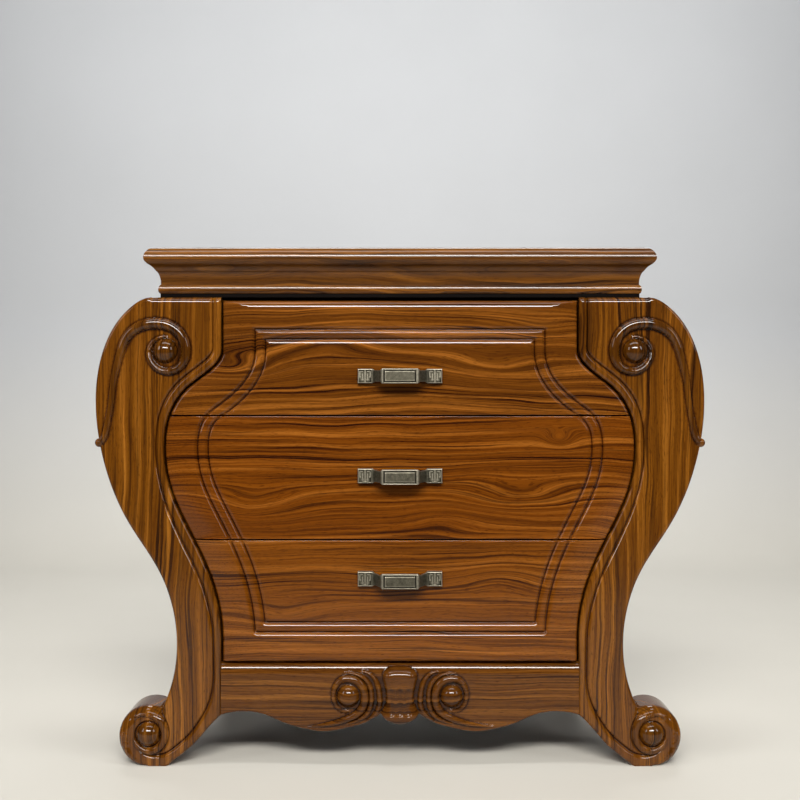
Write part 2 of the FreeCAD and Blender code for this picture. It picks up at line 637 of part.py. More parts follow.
def top_panel():
    """The panel of the top, with a tongue on all four edges."""
    y0, y1 = NECK_FRONT + TOP_FRAME_WIDTH, REAR_Y - TOP_FRAME_WIDTH
    high = TOP_BASE + TOP_THICK
    low = high - TOP_PANEL_THICK
    middle, grip = (low + high) / 2, TOP_PANEL_TONGUE
    tongue = block(-FRAME_HALF - grip, FRAME_HALF + grip, y0 - grip, y1 + grip,
                   middle - TOP_PANEL_TONGUE_THICK / 2, middle + TOP_PANEL_TONGUE_THICK / 2)
    return joined(block(-FRAME_HALF, FRAME_HALF, y0, y1, low, high), [tongue])


def neck_strips():
    """The four strips under the top, by name."""
    y1, y2 = NECK_FRONT + NECK_WIDTH, REAR_Y - NECK_WIDTH
    right = block(NECK_HALF - NECK_WIDTH, NECK_HALF, y1, y2, LEG_HEIGHT, TOP_BASE)
    return {
        "neck_front": block(-NECK_HALF, NECK_HALF, NECK_FRONT, y1, LEG_HEIGHT, TOP_BASE),
        "neck_rear": block(-NECK_HALF, NECK_HALF, y2, REAR_Y, LEG_HEIGHT, TOP_BASE),
        "neck_right": right,
        "neck_left": mirrored(right),
    }


def top_screws():
    """Screws that go up through the top rails and the neck into the top's frame."""
    low = LEG_HEIGHT - RAIL_HEIGHT
    front_y = (RAIL_FRONT + NECK_FRONT + NECK_WIDTH) / 2
    rear_y = (REAR_LEG_FRONT + BACK_PANEL_FRONT) / 2
    screws = []
    for y in (front_y, rear_y):
        for side in (-1, 0, 1):
            x = side * TOP_SCREW_SPREAD_SHARE * OPENING_HALF
            head = Part.makeCylinder(SCREW_HEAD_RADIUS, SCREW_HEAD_HEIGHT, V(x, y, low - SCREW_HEAD_HEIGHT))
            length = RAIL_HEIGHT + NECK_HEIGHT + TOP_SCREW_BITE
            shank = Part.makeCylinder(WOOD_SCREW_RADIUS, length, V(x, y, low))
            screws.append(joined(head, [shank]))
    return screws


def back_screws():
    """Flush screws that hold the back panel to the rear rails."""
    screws = []
    for level in RAIL_LEVELS:
        for side in (-1, 0, 1):
            place = V(side * BACK_SCREW_SPREAD_SHARE * OPENING_HALF, REAR_Y, level)
            head = Part.makeCone(BACK_SCREW_HEAD_RADIUS, WOOD_SCREW_RADIUS, BACK_SCREW_HEAD_DEPTH, place,
                                 V(0, -1, 0))
            shank = Part.makeCylinder(WOOD_SCREW_RADIUS, BACK_THICK + BACK_SCREW_BITE, place, V(0, -1, 0))
            screws.append(joined(head, [shank]))
    return screws


def groove(order):
    """One of the two grooves that frame the drawer fronts, counted from the outside."""
    rings = []
    for grow in (0, GROOVE_WIDTH):
        side = GROOVE_SIDE_INSET + GROOVE_SIDE_PITCH * order + grow
        low = STACK_BOTTOM + GROOVE_BOTTOM_INSET + GROOVE_END_PITCH * order + grow
        high = STACK_TOP - GROOVE_TOP_INSET - GROOVE_END_PITCH * order - grow
        rings.append(opening_slab(side, FACE_Y, FACE_Y + GROOVE_DEPTH, low, high))
    return rings[0].cut(rings[1])


def fronts():
    """The three drawer fronts, cut from one board so that their edges and grooves run on."""
    board = opening_slab(FRONT_SIDE_GAP, FACE_Y, FACE_BACK, STACK_BOTTOM, STACK_TOP)
    board = board.makeFillet(FRONT_EDGE_RADIUS, front_edges(board, FACE_Y))
    board = board.cut([groove(0), groove(1)])
    pieces = []
    for i in range(len(DRAWERS)):
        low = FRONT_BREAKS[i] + (DRAWER_GAP / 2 if i > 0 else 0)
        high = FRONT_BREAKS[i + 1] - (DRAWER_GAP / 2 if i < len(DRAWERS) - 1 else 0)
        pieces.append(board.common(block(-CHEST_WIDTH, CHEST_WIDTH, FACE_Y, FACE_BACK, low, high)))
    return pieces


def pull_level(i):
    """Height of a drawer's pull, a little above the middle of the field inside the grooves."""
    low, high = FRONT_BREAKS[i], FRONT_BREAKS[i + 1]
    if i == 0:
        low += GROOVE_BOTTOM_INSET + GROOVE_END_PITCH + GROOVE_WIDTH
    if i == len(DRAWERS) - 1:
        high -= GROOVE_TOP_INSET + GROOVE_END_PITCH + GROOVE_WIDTH
    return (low + high) / 2 + PULL_RISE


def pull(level):
    """A bridge pull: two end blocks, two waisted necks and a bar with a recess in its front."""
    outer, inner = (PULL_PITCH + PULL_END_WIDTH) / 2, (PULL_PITCH - PULL_END_WIDTH) / 2
    bar = PULL_BAR_LENGTH / 2
    low, high = level - PULL_BAR_HEIGHT / 2, level + PULL_BAR_HEIGHT / 2
    bridge = [(outer, 0), (outer, PULL_END_DEPTH), (inner, PULL_END_DEPTH), (bar, PULL_PROJECTION)]
    bridge += [(-x, depth) for x, depth in reversed(bridge)]
    bridge += [(-inner, 0), (-bar, PULL_PROJECTION - PULL_BAR_THICK)]
    bridge += [(bar, PULL_PROJECTION - PULL_BAR_THICK), (inner, 0)]
    points = [V(x, FACE_Y - depth, low) for x, depth in bridge + bridge[:1]]
    plan = Part.Face(Part.makePolygon(points)).extrude(V(0, 0, PULL_BAR_HEIGHT))
    steps = [(outer, PULL_END_HEIGHT), (inner, PULL_END_HEIGHT), (inner - PULL_WAIST_RUN, PULL_WAIST_HEIGHT)]
    steps += [(bar + PULL_WAIST_RUN, PULL_WAIST_HEIGHT), (bar, PULL_BAR_HEIGHT)]
    steps += [(-x, height) for x, height in reversed(steps)]
    rim = [(x, level + height / 2) for x, height in steps]
    rim += [(x, level - height / 2) for x, height in reversed(steps)]
    face = slab(outline(rim), FACE_Y - PULL_PROJECTION, FACE_Y)
    recess = block(-bar + PULL_RIM, bar - PULL_RIM, FACE_Y - PULL_PROJECTION,
                   FACE_Y - PULL_PROJECTION + PULL_RECESS_DEPTH, low + PULL_RIM, high - PULL_RIM)
    return plan.common(face).cut(recess)


def pull_screws(level):
    """Two screws from inside the drawer into the ends of its pull."""
    screws = []
    for side in (-1, 1):
        x = side * PULL_PITCH / 2
        head = Part.makeCylinder(SCREW_HEAD_RADIUS, SCREW_HEAD_HEIGHT, V(x, FACE_BACK, level), V(0, 1, 0))
        start = V(x, FACE_Y - PULL_SCREW_BITE, level)
        shank = Part.makeCylinder(PULL_SCREW_RADIUS, FRONT_THICK + PULL_SCREW_BITE, start, V(0, 1, 0))
        screws.append(joined(head, [shank]))
    return screws


def drawer(i, front):
    """The pieces of one drawer, by name."""
    half = box_half(i)
    low, high = box_levels(i)
    inside = half - BOX_SIDE_THICK
    bottom_low = low + BOX_BOTTOM_RISE
    bottom_high = bottom_low + BOX_BOTTOM_THICK
    back_rear = BOX_BACK - BOX_BACK_INSET
    housed = inside + BOX_JOINT_DEPTH
    front_root = FACE_BACK - BOX_JOINT_DEPTH
    side = block(inside, half, front_root, BOX_BACK, low, high)
    back = block(-housed, housed, back_rear - BOX_BACK_THICK, back_rear, bottom_high, high - BOX_BACK_DROP)
    bottom = block(-housed, housed, front_root, back_rear, bottom_low, bottom_high)
    side = side.cut([back, bottom])
    level = pull_level(i)
    screws = pull_screws(level)
    name = DRAWERS[i] + "_drawer_"
    return {
        name + "front": front.cut([side, mirrored(side), bottom] + screws),
        name + "right_side": side,
        name + "left_side": mirrored(side),
        name + "back": back,
        name + "bottom": bottom,
        name + "pull": pull(level).cut(screws),
        name + "pull_screws": Part.makeCompound(screws),
    }


def carcase():
    """The fixed pieces under the top, by name, and the screws that hold the top."""
    front_blank = leg_blank(FRONT_Y, FRONT_LEG_BACK, scroll_foot())
    rear_blank = leg_blank(REAR_LEG_FRONT, REAR_Y, plain_foot())
    dust, panel, shoulder, skirt = bottom_panel(), side_panel(), side_rail(), apron()
    back = opening_slab(-BACK_REBATE, BACK_PANEL_FRONT, REAR_Y, RAIL_LEVELS[0] - RAIL_HEIGHT / 2, LEG_HEIGHT)
    runners = [runner(i) for i in range(len(DRAWERS))]
    runners[0] = runners[0].cut(dust)
    tongues = [dust] + runners + [mirrored(piece) for piece in runners]
    into_back, into_top = back_screws(), top_screws()
    pieces = {}
    for name, level in zip(RAILS, RAIL_LEVELS):
        front_rail = rail(level, RAIL_FRONT, FRONT_LEG_BACK, front_blank)
        rear_rail = rail(level, REAR_LEG_FRONT, BACK_PANEL_FRONT, rear_blank)
        pieces["front_" + name + "_rail"] = front_rail.cut(tongues + into_top)
        pieces["rear_" + name + "_rail"] = rear_rail.cut(tongues + into_top + into_back)
    front_tenons = [rail_tenon(level, RAIL_FRONT, FRONT_LEG_BACK) for level in RAIL_LEVELS]
    rear_tenons = [rail_tenon(level, REAR_LEG_FRONT, BACK_PANEL_FRONT) for level in RAIL_LEVELS]
    right_front = front_leg().cut(front_tenons + [panel, side_tenons(), apron_tenon()])
    right_rear = rear_blank.cut(rear_tenons + [panel, side_tenons(), back])
    for name, piece in zip(DRAWERS, runners):
        pieces[name + "_right_runner"] = piece
        pieces[name + "_left_runner"] = mirrored(piece)
    for name, piece in (("right_side_panel", panel), ("right_top_rail", shoulder),
                        ("front_right_leg", right_front), ("rear_right_leg", right_rear)):
        pieces[name] = piece
        pieces[name.replace("right", "left")] = mirrored(piece)
    pieces["front_apron"] = skirt
    pieces["back_panel"] = back.cut(into_back)
    pieces["bottom_panel"] = dust
    pieces["back_panel_screws"] = Part.makeCompound(into_back)
    return pieces, into_top


def top(screws):
    """The pieces of the top and its neck, by name."""
    front, right = top_mouldings()
    panel = top_panel()
    rear = block(-FRAME_HALF, FRAME_HALF, REAR_Y - TOP_FRAME_WIDTH, REAR_Y, TOP_BASE, TOP_BASE + TOP_THICK)
    cutters = [panel] + screws
    pieces = {name: strip.cut(screws) for name, strip in neck_strips().items()}
    pieces["top_front_moulding"] = front.cut(cutters)
    pieces["top_right_moulding"] = right.cut(cutters)
    pieces["top_left_moulding"] = mirrored(pieces["top_right_moulding"])
    pieces["top_rear_rail"] = rear.cut(cutters)
    pieces["top_panel"] = panel
    pieces["top_screws"] = Part.makeCompound(screws)
    return pieces


def chest():
    """Every piece of the chest, by name."""
    pieces, screws = carcase()
    pieces.update(top(screws))
    for i, front in enumerate(fronts()):
        pieces.update(drawer(i, front))
    return pieces


os.makedirs("parts", exist_ok=True)
for node, shape in sorted(chest().items()):
    shape.exportStep("parts/" + node + ".step")
    print(node, len(shape.Solids), shape.isValid(), round(shape.Volume))
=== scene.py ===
"""Looks of the bombe chest, in metres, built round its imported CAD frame.

Each carved piece is a board: an outline seen from the front, a mesh over it that is denser along the carving,
and a depth at each of its points. The top is a mitred moulding and the metal is cast bridge pulls.
"""

import math
import re
from functools import partial

import bpy
import numpy as np
from mathutils import Matrix, Vector
from mathutils.geometry import delaunay_2d_cdt
from mathutils.kdtree import KDTree


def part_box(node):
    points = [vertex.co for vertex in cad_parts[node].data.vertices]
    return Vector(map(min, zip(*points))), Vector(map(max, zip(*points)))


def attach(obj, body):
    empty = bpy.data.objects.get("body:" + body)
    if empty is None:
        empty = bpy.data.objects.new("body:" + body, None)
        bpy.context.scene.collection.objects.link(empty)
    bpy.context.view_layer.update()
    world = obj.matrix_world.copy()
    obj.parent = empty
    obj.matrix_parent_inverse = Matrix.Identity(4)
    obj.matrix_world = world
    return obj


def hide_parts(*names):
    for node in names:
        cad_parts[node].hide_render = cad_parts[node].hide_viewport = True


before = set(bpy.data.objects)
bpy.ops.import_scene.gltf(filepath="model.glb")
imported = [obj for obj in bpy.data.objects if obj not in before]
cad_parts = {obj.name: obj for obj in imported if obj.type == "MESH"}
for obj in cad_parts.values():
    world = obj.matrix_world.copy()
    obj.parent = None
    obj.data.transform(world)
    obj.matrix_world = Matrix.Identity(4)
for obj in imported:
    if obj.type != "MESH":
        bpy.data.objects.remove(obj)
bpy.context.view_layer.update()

MM = 0.001
DRAWERS = ("lower", "middle", "upper")

# Sizes read from the frame
leg_low, leg_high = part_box("rear_right_leg")
OPENING_HALF, LEG_REACH, LEG_HEIGHT = leg_low.x, leg_high.x - leg_low.x, leg_high.z
REAR_LEG_FRONT, REAR_LEG_BACK = leg_low.y, leg_high.y
LEG_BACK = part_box("front_right_leg")[1].y
FRONT_BOXES = [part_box(name + "_drawer_front") for name in DRAWERS]
PULL_BOXES = [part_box(name + "_drawer_pull") for name in DRAWERS]
FACE_Y, FACE_BACK = FRONT_BOXES[0][0].y, FRONT_BOXES[0][1].y
APRON_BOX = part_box("front_apron")
TOP_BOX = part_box("top_front_moulding")

# Leg outline, as shares of its reach out from the opening and of its rise from the foot
LEG_THICK = 68 * MM
LEG_FRONT = LEG_BACK - LEG_THICK
FOOT_HEIGHT = 86.0 * MM
FOOT_RADIUS = 0.471 * FOOT_HEIGHT
LEG_RISE = LEG_HEIGHT - FOOT_HEIGHT
FOOT_X = OPENING_HALF + 0.590 * LEG_REACH
SOLE_X = OPENING_HALF + 0.425 * LEG_REACH
SHOULDER_X = OPENING_HALF + 0.550 * LEG_REACH
HEEL_Z = 0.8133 * FOOT_HEIGHT
REAR_TAPER = 12.0 * MM
REAR_FLARE = 4.0 * MM
CREASE = math.radians(118)
OUTER_SHARES = (
    (0.7315, 0.9730), (0.9100, 0.8945), (1.0, 0.7569), (0.9545, 0.6195), (0.7340, 0.4427),
    (0.4943, 0.3250), (0.3698, 0.2071), (0.3535, 0.1482), (0.3935, 0.0500),
)
INNER_SHARES = (
    (0.0, 0.1580), (0.0636, 0.2856), (0.2265, 0.4035), (0.4015, 0.5215), (0.4570, 0.6392),
    (0.4093, 0.7177), (0.2822, 0.7766), (0.0835, 0.8257), (0.0, 0.8699),
)
INSTEP_SHARES = ((0.3055, 0.1882), (0.2149, 0.3462), (0.1370, 0.5230), (0.0641, 0.6908))

# Edges of the legs
OUTER_ROUND = 5.0 * MM
INNER_ROUND = 4.0 * MM
INNER_WIDTH = 5.5 * MM
TOP_ROUND = 8.0 * MM
FOOT_ROUNDS = np.array([5, 8, 12, 15, 16, 16, 14]) * MM
FOOT_WIDTHS = np.array([6, 11, 16, 18, 18, 17, 13]) * MM
SOLE_ROUND = 1.2 * MM
REAR_ROUND = 4.0 * MM

# Groove beside the inner edge of a leg: height above the floor and offset from the edge, in millimetres
GROOVE_OFFSETS = (
    (130, 10), (190, 11), (230, 12.5), (313, 13.5), (355, 11.5), (400, 10), (460, 10.3), (500, 12.5), (549, 13),
    (580, 11), (650, 11),
)
GROOVE_HEIGHTS = 135, 661, 12.5  # from, to and step
GROOVE_SWEEP = (  # from the foot's scroll up to them
    (353.8, 18.6), (339.7, 15.2), (323.9, 18.3), (309.7, 28), (297.3, 38.6), (285, 52.7), (274.4, 68.6),
    (265.6, 86.2), (260.3, 106),
)
GROOVE_PROFILE = (  # offsets to the left, which is the side of the inner edge, and heights
    (-4.2, 0), (-3.2, -0.3), (-1.9, -1.3), (-0.9, -2.9), (-0.2, -3.5), (0.5, -3.3), (1.5, -1.9), (2.9, -0.6),
    (4.4, 0),
)

# Carving of the knee: heading in degrees, reach from the eye and half width in millimetres
KNEE_EYE = (OPENING_HALF + 0.4411 * LEG_REACH, FOOT_HEIGHT + 0.8676 * LEG_RISE)
KNEE_EYE_RADIUS, KNEE_EYE_RISE = 17.0 * MM, 13.0 * MM
KNEE_COIL = (
    (70, 40.5, 7.8), (99, 35.2, 7.8), (134, 31.0, 7.3), (175, 29.0, 7.0), (210, 29.4, 6.5), (242, 29.6, 5.6),
    (270, 28.2, 5.0), (302, 25.6, 4.6), (340, 23.2, 4.3), (377, 21.4, 3.6), (424, 20.0, 2.6), (455, 19.6, 1.6),
)
KNEE_STEM = (
    (0.9560, 0.6440, 4.6), (0.9271, 0.6564, 4.6), (0.9000, 0.6890, 4.2), (0.8759, 0.7285, 4.0),
    (0.8507, 0.7910, 4.4), (0.8053, 0.8535, 5.4), (0.7392, 0.9037, 6.6), (0.6330, 0.9287, 7.6),
)
KNEE_TUBE_RISE = ((0.0, 4.6), (0.12, 4.2), (0.3, 5.6), (0.45, 8.0), (0.7, 8.0), (0.88, 6.5), (1.0, 2.5))
KNEE_BALL = (OPENING_HALF + 0.967 * LEG_REACH, FOOT_HEIGHT + 0.6420 * LEG_RISE)
KNEE_BALL_RADIUS = 6.2 * MM
KNEE_BALL_DROP = 3.0 * MM

# Carving of the foot
FOOT_EYE = (FOOT_X - 2.2 * MM, FOOT_RADIUS + 3.7 * MM)
FOOT_EYE_RADIUS, FOOT_EYE_RISE = 16.2 * MM, 11.0 * MM
FOOT_RING_RADIUS = 17.8 * MM
FOOT_RING_PROFILE = ((-2.4, 0), (-1.4, -1.0), (-0.5, -2.6), (0.5, -2.6), (1.6, -1.0), (2.8, 0))
FOOT_BAND = (  # heading in degrees, reach from the eye and half width
    (52, 29.5, 2.0), (85, 29.0, 5.0), (118, 27.0, 6.2), (150, 23.9, 5.4), (180, 23.0, 4.6), (225, 23.2, 4.7),
    (270, 23.2, 4.7), (310, 21.6, 3.2), (345, 20.4, 1.6),
)
FOOT_BAND_RISE = ((0.0, 0.5), (0.25, 4.5), (0.8, 4.0), (1.0, 1.0))
FOOT_SPIRAL = (
    (332.4, 75.0), (325.4, 64), (321.6, 52.7), (321.4, 40.3), (326.6, 26.6), (339.4, 17.0), (352, 17.6),
    (361, 24.6),
)

# Drawer fronts
SIDE_GAP = 2.6 * MM
SIDE_ROUND = 4.0 * MM
PILLOW_ROUND = 9.0 * MM
PILLOW_TOP_WIDTH = 11.0 * MM
PILLOW_FALL, PILLOW_REACH = 7.0 * MM, 44 * MM
BREAK_ROUND = 0.9 * MM
BEAD_INSETS = (48.4 * MM, 62.9 * MM)
BEAD_TOP_DROPS = (40.4 * MM, 53.9 * MM)
BEAD_BOTTOM_RISES = (42.4 * MM, 55.9 * MM)
BEAD_PROFILES = (  # offsets inwards and heights, of the outer and the inner quirk
    ((-5.6, 0), (-4.4, -0.4), (-2.8, -1.2), (-2.0, -2.2), (-1.4, -3.0), (-1.0, -3.4), (0.2, -3.4), (1.2, -1.8),
     (2.2, -0.7), (3.4, -0.05), (4.8, 0.4), (6.4, 0.7), (8.0, 0.6), (9.6, 0)),
    ((-5.6, 0), (-4.4, -0.35), (-2.9, -1.1), (-1.9, -2.1), (-1.2, -3.0), (-0.8, -3.4), (0.2, -3.4), (1.1, -1.8),
     (2.0, -0.9), (3.2, -0.45), (4.8, -0.05), (6.0, 0)),
)

# Apron: places in millimetres right of the middle and above the floor
APRON_CURVE = (
    (248.4, 69.9), (217.4, 74.8), (191.0, 71.4), (160.5, 58.8), (130.2, 50.5), (106.6, 47.1), (70.5, 52.6),
    (40.7, 62.3), (25.6, 72.7),
)
APRON_EYE = (71.5 * MM, 97.4 * MM)
APRON_EYE_RADIUS, APRON_EYE_RISE = 15.6 * MM, 12.0 * MM
APRON_BANDS = (  # the coil round the eye with its tail, then two crescents
    ((71.5, 77.0, 2.2), (86.4, 81.8, 2.8), (92.0, 97.4, 3.4), (88.4, 112.6, 4.2), (80.3, 120.0, 5.0),
     (69.8, 121.4, 5.6), (57.4, 116.8, 5.9), (49.8, 104.5, 6.0), (48.8, 90.3, 6.0), (55.2, 77.1, 5.8),
     (67.6, 68.3, 5.0), (83.9, 62.3, 4.0), (101.5, 58.1, 3.0), (127, 54.9, 1.2)),
    ((76.0, 129.0, 1.0), (63.0, 128.2, 2.0), (50.5, 123.0, 3.0), (42.4, 113.3, 3.5), (39.4, 99.2, 3.7),
     (40.4, 85.0, 3.7), (46.6, 72.2, 3.4), (58.6, 63.9, 2.6), (72.0, 59.4, 1.4)),
    ((51.0, 131.0, 1.2), (38.4, 125.4, 2.8), (31.2, 113.8, 3.8), (28.2, 97.4, 4.2), (28.8, 83.6, 4.1),
     (34.6, 72.9, 3.4), (46.0, 63.6, 1.8)),
)
APRON_BAND_RISE = ((0.0, 2.0), (0.15, 4.5), (0.35, 7.0), (0.6, 7.0), (0.8, 5.5), (1.0, 1.5))
SHIELD_SIDE = (
    (0, 138.0), (14, 136.6), (22.4, 131.0), (24.2, 123.9), (22.0, 113.5), (19.4, 98), (21.6, 84), (26.6, 74),
    (24.6, 66), (16, 60.4), (0, 58.2),
)
SHIELD_RISE, SHIELD_ROUND = 13.0 * MM, 12.0 * MM
FLUTE_X, FLUTE_LOW, FLUTE_HIGH = 11.6 * MM, 77 * MM, 106 * MM
FLUTE_PROFILE = (
    (-5.4, 0), (-4.6, -0.5), (-3.6, -1.2), (-2.4, -2.0), (-1.2, -2.6), (0, -2.8), (1.2, -2.6), (2.4, -2.0),
    (3.6, -1.2), (4.6, -0.5), (5.4, 0),
)
APRON_TOP_ROUND, APRON_TOP_WIDTH = 10.0 * MM, 16.0 * MM
APRON_EDGE_ROUND = 4.0 * MM
APRON_SETBACK = 1 * MM

# Moulded top, as shares of its overhang past the neck and of its thickness
TOP_BASE, TOP_THICK = TOP_BOX[0].z, TOP_BOX[1].z - TOP_BOX[0].z
TOP_OVERHANG = 20 * MM
TOP_FRAME_WIDTH = 62 * MM
NECK_HALF, NECK_FRONT = TOP_BOX[1].x - TOP_OVERHANG, TOP_BOX[0].y + TOP_OVERHANG
TOP_CURVES = (  # bead, cove, ovolo and nose, from the base up
    ((0.0, 0.0), (0.10, 0.03), (0.14, 0.09), (0.095, 0.155), (-0.02, 0.195)),
    ((-0.02, 0.255), (0.015, 0.33), (0.10, 0.412), (0.205, 0.468)),
    ((0.26, 0.476), (0.43, 0.545), (0.755, 0.618)),
    ((0.83, 0.642), (1.0, 0.752), (0.905, 0.851), (0.70, 0.927), (0.35, 0.977), (-0.40, 1.0)),
)
TOP_STARTS = ((1, 0.1), (0, 1), None, None)
TOP_ENDS = (None, None, None, (-1, 0))
MOULDING_INPUTS = "Start", "End", "Start Mitre", "End Mitre"

# Side panels
SIDE_RECESS, SIDE_THICK = 9.0 * MM, 16.0 * MM
SIDE_TONGUE = 8.0 * MM
SIDE_BOTTOM, SIDE_ARCH = 84 * MM, 30 * MM
SIDE_STATIONS, SIDE_STEPS = 41, 61  # from front to rear and from top to bottom

# Pulls: half widths and heights of the ends, necks and bar, and depths in front of the drawer
PULL_OUTER, PULL_INNER, PULL_BAR = 58 * MM, 38 * MM, 24 * MM
PULL_END_X, PULL_END_WIDE = 48 * MM, 10 * MM
PULL_END_HALF, PULL_WAIST_HALF, PULL_BAR_HALF = 9.9 * MM, 7.8 * MM, 10.3 * MM
PULL_RUN = 3.5 * MM
PULL_END_DEPTH, PULL_PROJECTION, PULL_BAR_THICK = 9 * MM, 30 * MM, 5.5 * MM
PULL_ROUND = 1.2 * MM
PULL_RIM, PULL_RECESS = 1.7 * MM, 1.0 * MM
PULL_PANEL_INSET, PULL_PANEL_RISE = 3.2 * MM, 0.9 * MM
FRET_RIM, FRET_RECESS, FRET_WEAR_AND_SHEEN = 1.3 * MM, 1.0 * MM, 0.69
FRET_HOOK = (  # place and half size on an end, as shares of its half width and half height
    (0.39, -0.07, 0.08, 0.47), (0.39, -0.58, 0.15, 0.13), (0.76, -0.14, 0.14, 0.09), (0.82, 0.38, 0.08, 0.42),
    (0.60, 0.74, 0.25, 0.08),
)
FRET_BARS = [(0.0, 0.0, 0.08, 0.95)] + [(side * u, *rest) for side in (-1, 1) for u, *rest in FRET_HOOK]

# Screws
SCREW_HEAD, SCREW_RISE, SCREW_SHANK = 4.0 * MM, 2.5 * MM, 2.0 * MM
BACK_SCREW_HEAD = 3.6 * MM
SLOT_WIDTH, SLOT_DEPTH = 0.9 * MM, 1.0 * MM
SCREW_INPUTS = "Head Radius", "Head Height", "Shank Radius", "Shank Length", "Slot Width", "Slot Depth"

# How far apart the meshes' points lie where nothing is carved, and the least gaps between others
CARVED_SPACING, FRONT_SPACING, REAR_SPACING, PULL_SPACING = 2.6 * MM, 7 * MM, 12 * MM, 1.4 * MM
LEAST_GRID, LEAST_GAP = 0.45 * MM, 0.4 * MM
CHUNK = 500  # points that are measured at a time
SLOPE_STEP, STEEPEST = 0.02 * MM, 30  # step to measure a slope by, and the steepest that counts as smooth


# Lines and distances in the plane of the front, as arrays of (x, z)

def end_slope(t, p):
    """Slope at the first of a few points, of the polynomial through them."""
    order = min(3, len(t) - 1)
    return np.array([np.polyfit(t - t[0], p[:, k], order)[order - 1] for k in range(2)])


def spline(points, start=None, end=None, step=2 * MM):
    """A smooth curve through the points, as points about a step apart."""
    p = np.array(points, float)
    h = np.hypot(*np.diff(p, axis=0).T)
    t = np.concatenate([[0], np.cumsum(h)])
    n = len(p)
    first = np.array(start, float) if start else end_slope(t[:4], p[:4])
    last = np.array(end, float) if end else -end_slope((t[-1] - t)[::-1][:4], p[::-1][:4])
    rows, right = np.zeros((n, n)), np.zeros((n, 2))
    rows[0, 0] = rows[-1, -1] = 1
    right[0], right[-1] = first, last
    for i in range(1, n - 1):
        rows[i, i - 1:i + 2] = 1 / h[i - 1], 2 / h[i - 1] + 2 / h[i], 1 / h[i]
        right[i] = 3 * ((p[i] - p[i - 1]) / h[i - 1] ** 2 + (p[i + 1] - p[i]) / h[i] ** 2)
    m = np.linalg.solve(rows, right)
    found = []
    for i in range(n - 1):
        u = np.arange(math.ceil(h[i] / step))[:, None] / math.ceil(h[i] / step)
        found.append((2 * u**3 - 3 * u**2 + 1) * p[i] + (u**3 - 2 * u**2 + u) * h[i] * m[i]
                     + (3 * u**2 - 2 * u**3) * p[i + 1] + (u**3 - u**2) * h[i] * m[i + 1])
    return np.vstack(found + [p[-1:]])


def line(start, end, step=3 * MM):
    """A straight line, as points about a step apart."""
    count = max(1, round(math.dist(start, end) / step))
    return np.linspace(start, end, count + 1)


def arc(centre, radius, start, end, step=2 * MM):
    """Part of a circle between two angles, as points about a step apart."""
    turns = np.linspace(start, end, max(2, round(abs(end - start) * radius / step)) + 1)
    return np.stack([centre[0] + radius * np.cos(turns), centre[1] + radius * np.sin(turns)], 1)


def lengths(path):
    """How far along a path each of its points lies."""
    return np.concatenate([[0], np.cumsum(np.hypot(*np.diff(path, axis=0).T))])


def shares(path):
    """Which share of a path's length lies before each of its points."""
    return lengths(path) / lengths(path)[-1]


def nearest(points, path, reach=math.inf):
    """Signed distance of each point from a path, positive to its left, and how far along it that is.

    Points further away than the reach can be given any distance beyond it.
    """
    starts, ways, at = path[:-1], np.diff(path, axis=0), lengths(path)
    low, high = np.minimum(starts, path[1:]) - reach, np.maximum(starts, path[1:]) + reach
    away, along = np.full(len(points), math.inf), np.zeros(len(points))
    order = np.argsort(points[:, 1])
    for k in range(0, len(points), CHUNK):
        rows = order[k:k + CHUNK]
        p = points[rows]
        near = np.flatnonzero(((low <= p.max(0)) & (high >= p.min(0))).all(1))
        if not len(near):
            continue
        d, w = ways[near], p[:, None] - starts[near]
        size = np.maximum((d ** 2).sum(1), 1e-18)
        s = np.clip((w * d).sum(2) / size, 0, 1)
        gap = ((w - s[..., None] * d) ** 2).sum(2)
        i = gap.argmin(1)
        j = np.arange(len(i))
        turn = d[i, 0] * w[j, i, 1] - d[i, 1] * w[j, i, 0]
        away[rows] = np.where(turn < 0, -1, 1) * np.sqrt(gap[j, i])
        along[rows] = (at[near[i]] + s[j, i] * np.sqrt(size[i])) / at[-1]
    return away, along


def inside(points, loop):
    """Which points lie inside a closed loop."""
    x0, z0 = loop.T
    x1, z1 = np.roll(loop, -1, axis=0).T
    found = np.zeros(len(points), bool)
    for k in range(0, len(points), CHUNK):
        x, z = points[k:k + CHUNK, :1], points[k:k + CHUNK, 1:]
        with np.errstate(divide="ignore", invalid="ignore"):
            cross = ((z0 > z) != (z1 > z)) & (x < (x1 - x0) * (z - z0) / (z1 - z0) + x0)
        found[k:k + CHUNK] = cross.sum(1) % 2 == 1
    return found


def offset(path, distance):
    """A path moved to its left by one distance, or by one for each of its points."""
    d = np.diff(path, axis=0)
    side = np.stack([-d[:, 1], d[:, 0]], 1) / np.hypot(*d.T)[:, None]
    if np.allclose(path[0], path[-1]):
        before, after = np.vstack([side[-1:], side]), np.vstack([side, side[:1]])
    else:
        before, after = np.vstack([side[:1], side]), np.vstack([side, side[-1:]])
    both = before + after
    both /= np.maximum((both * after).sum(1), 0.2)[:, None]
    return path + both * np.reshape(distance, (-1, 1))


def flipped(path):
    """A path mirrored to the left side and run the other way."""
    return path[::-1] * (-1, 1)


def closed(path):
    """A loop with its first point again at its end."""
    return np.vstack([path, path[:1]])


# Carving: each kind gives points for the mesh and a height in front of the board

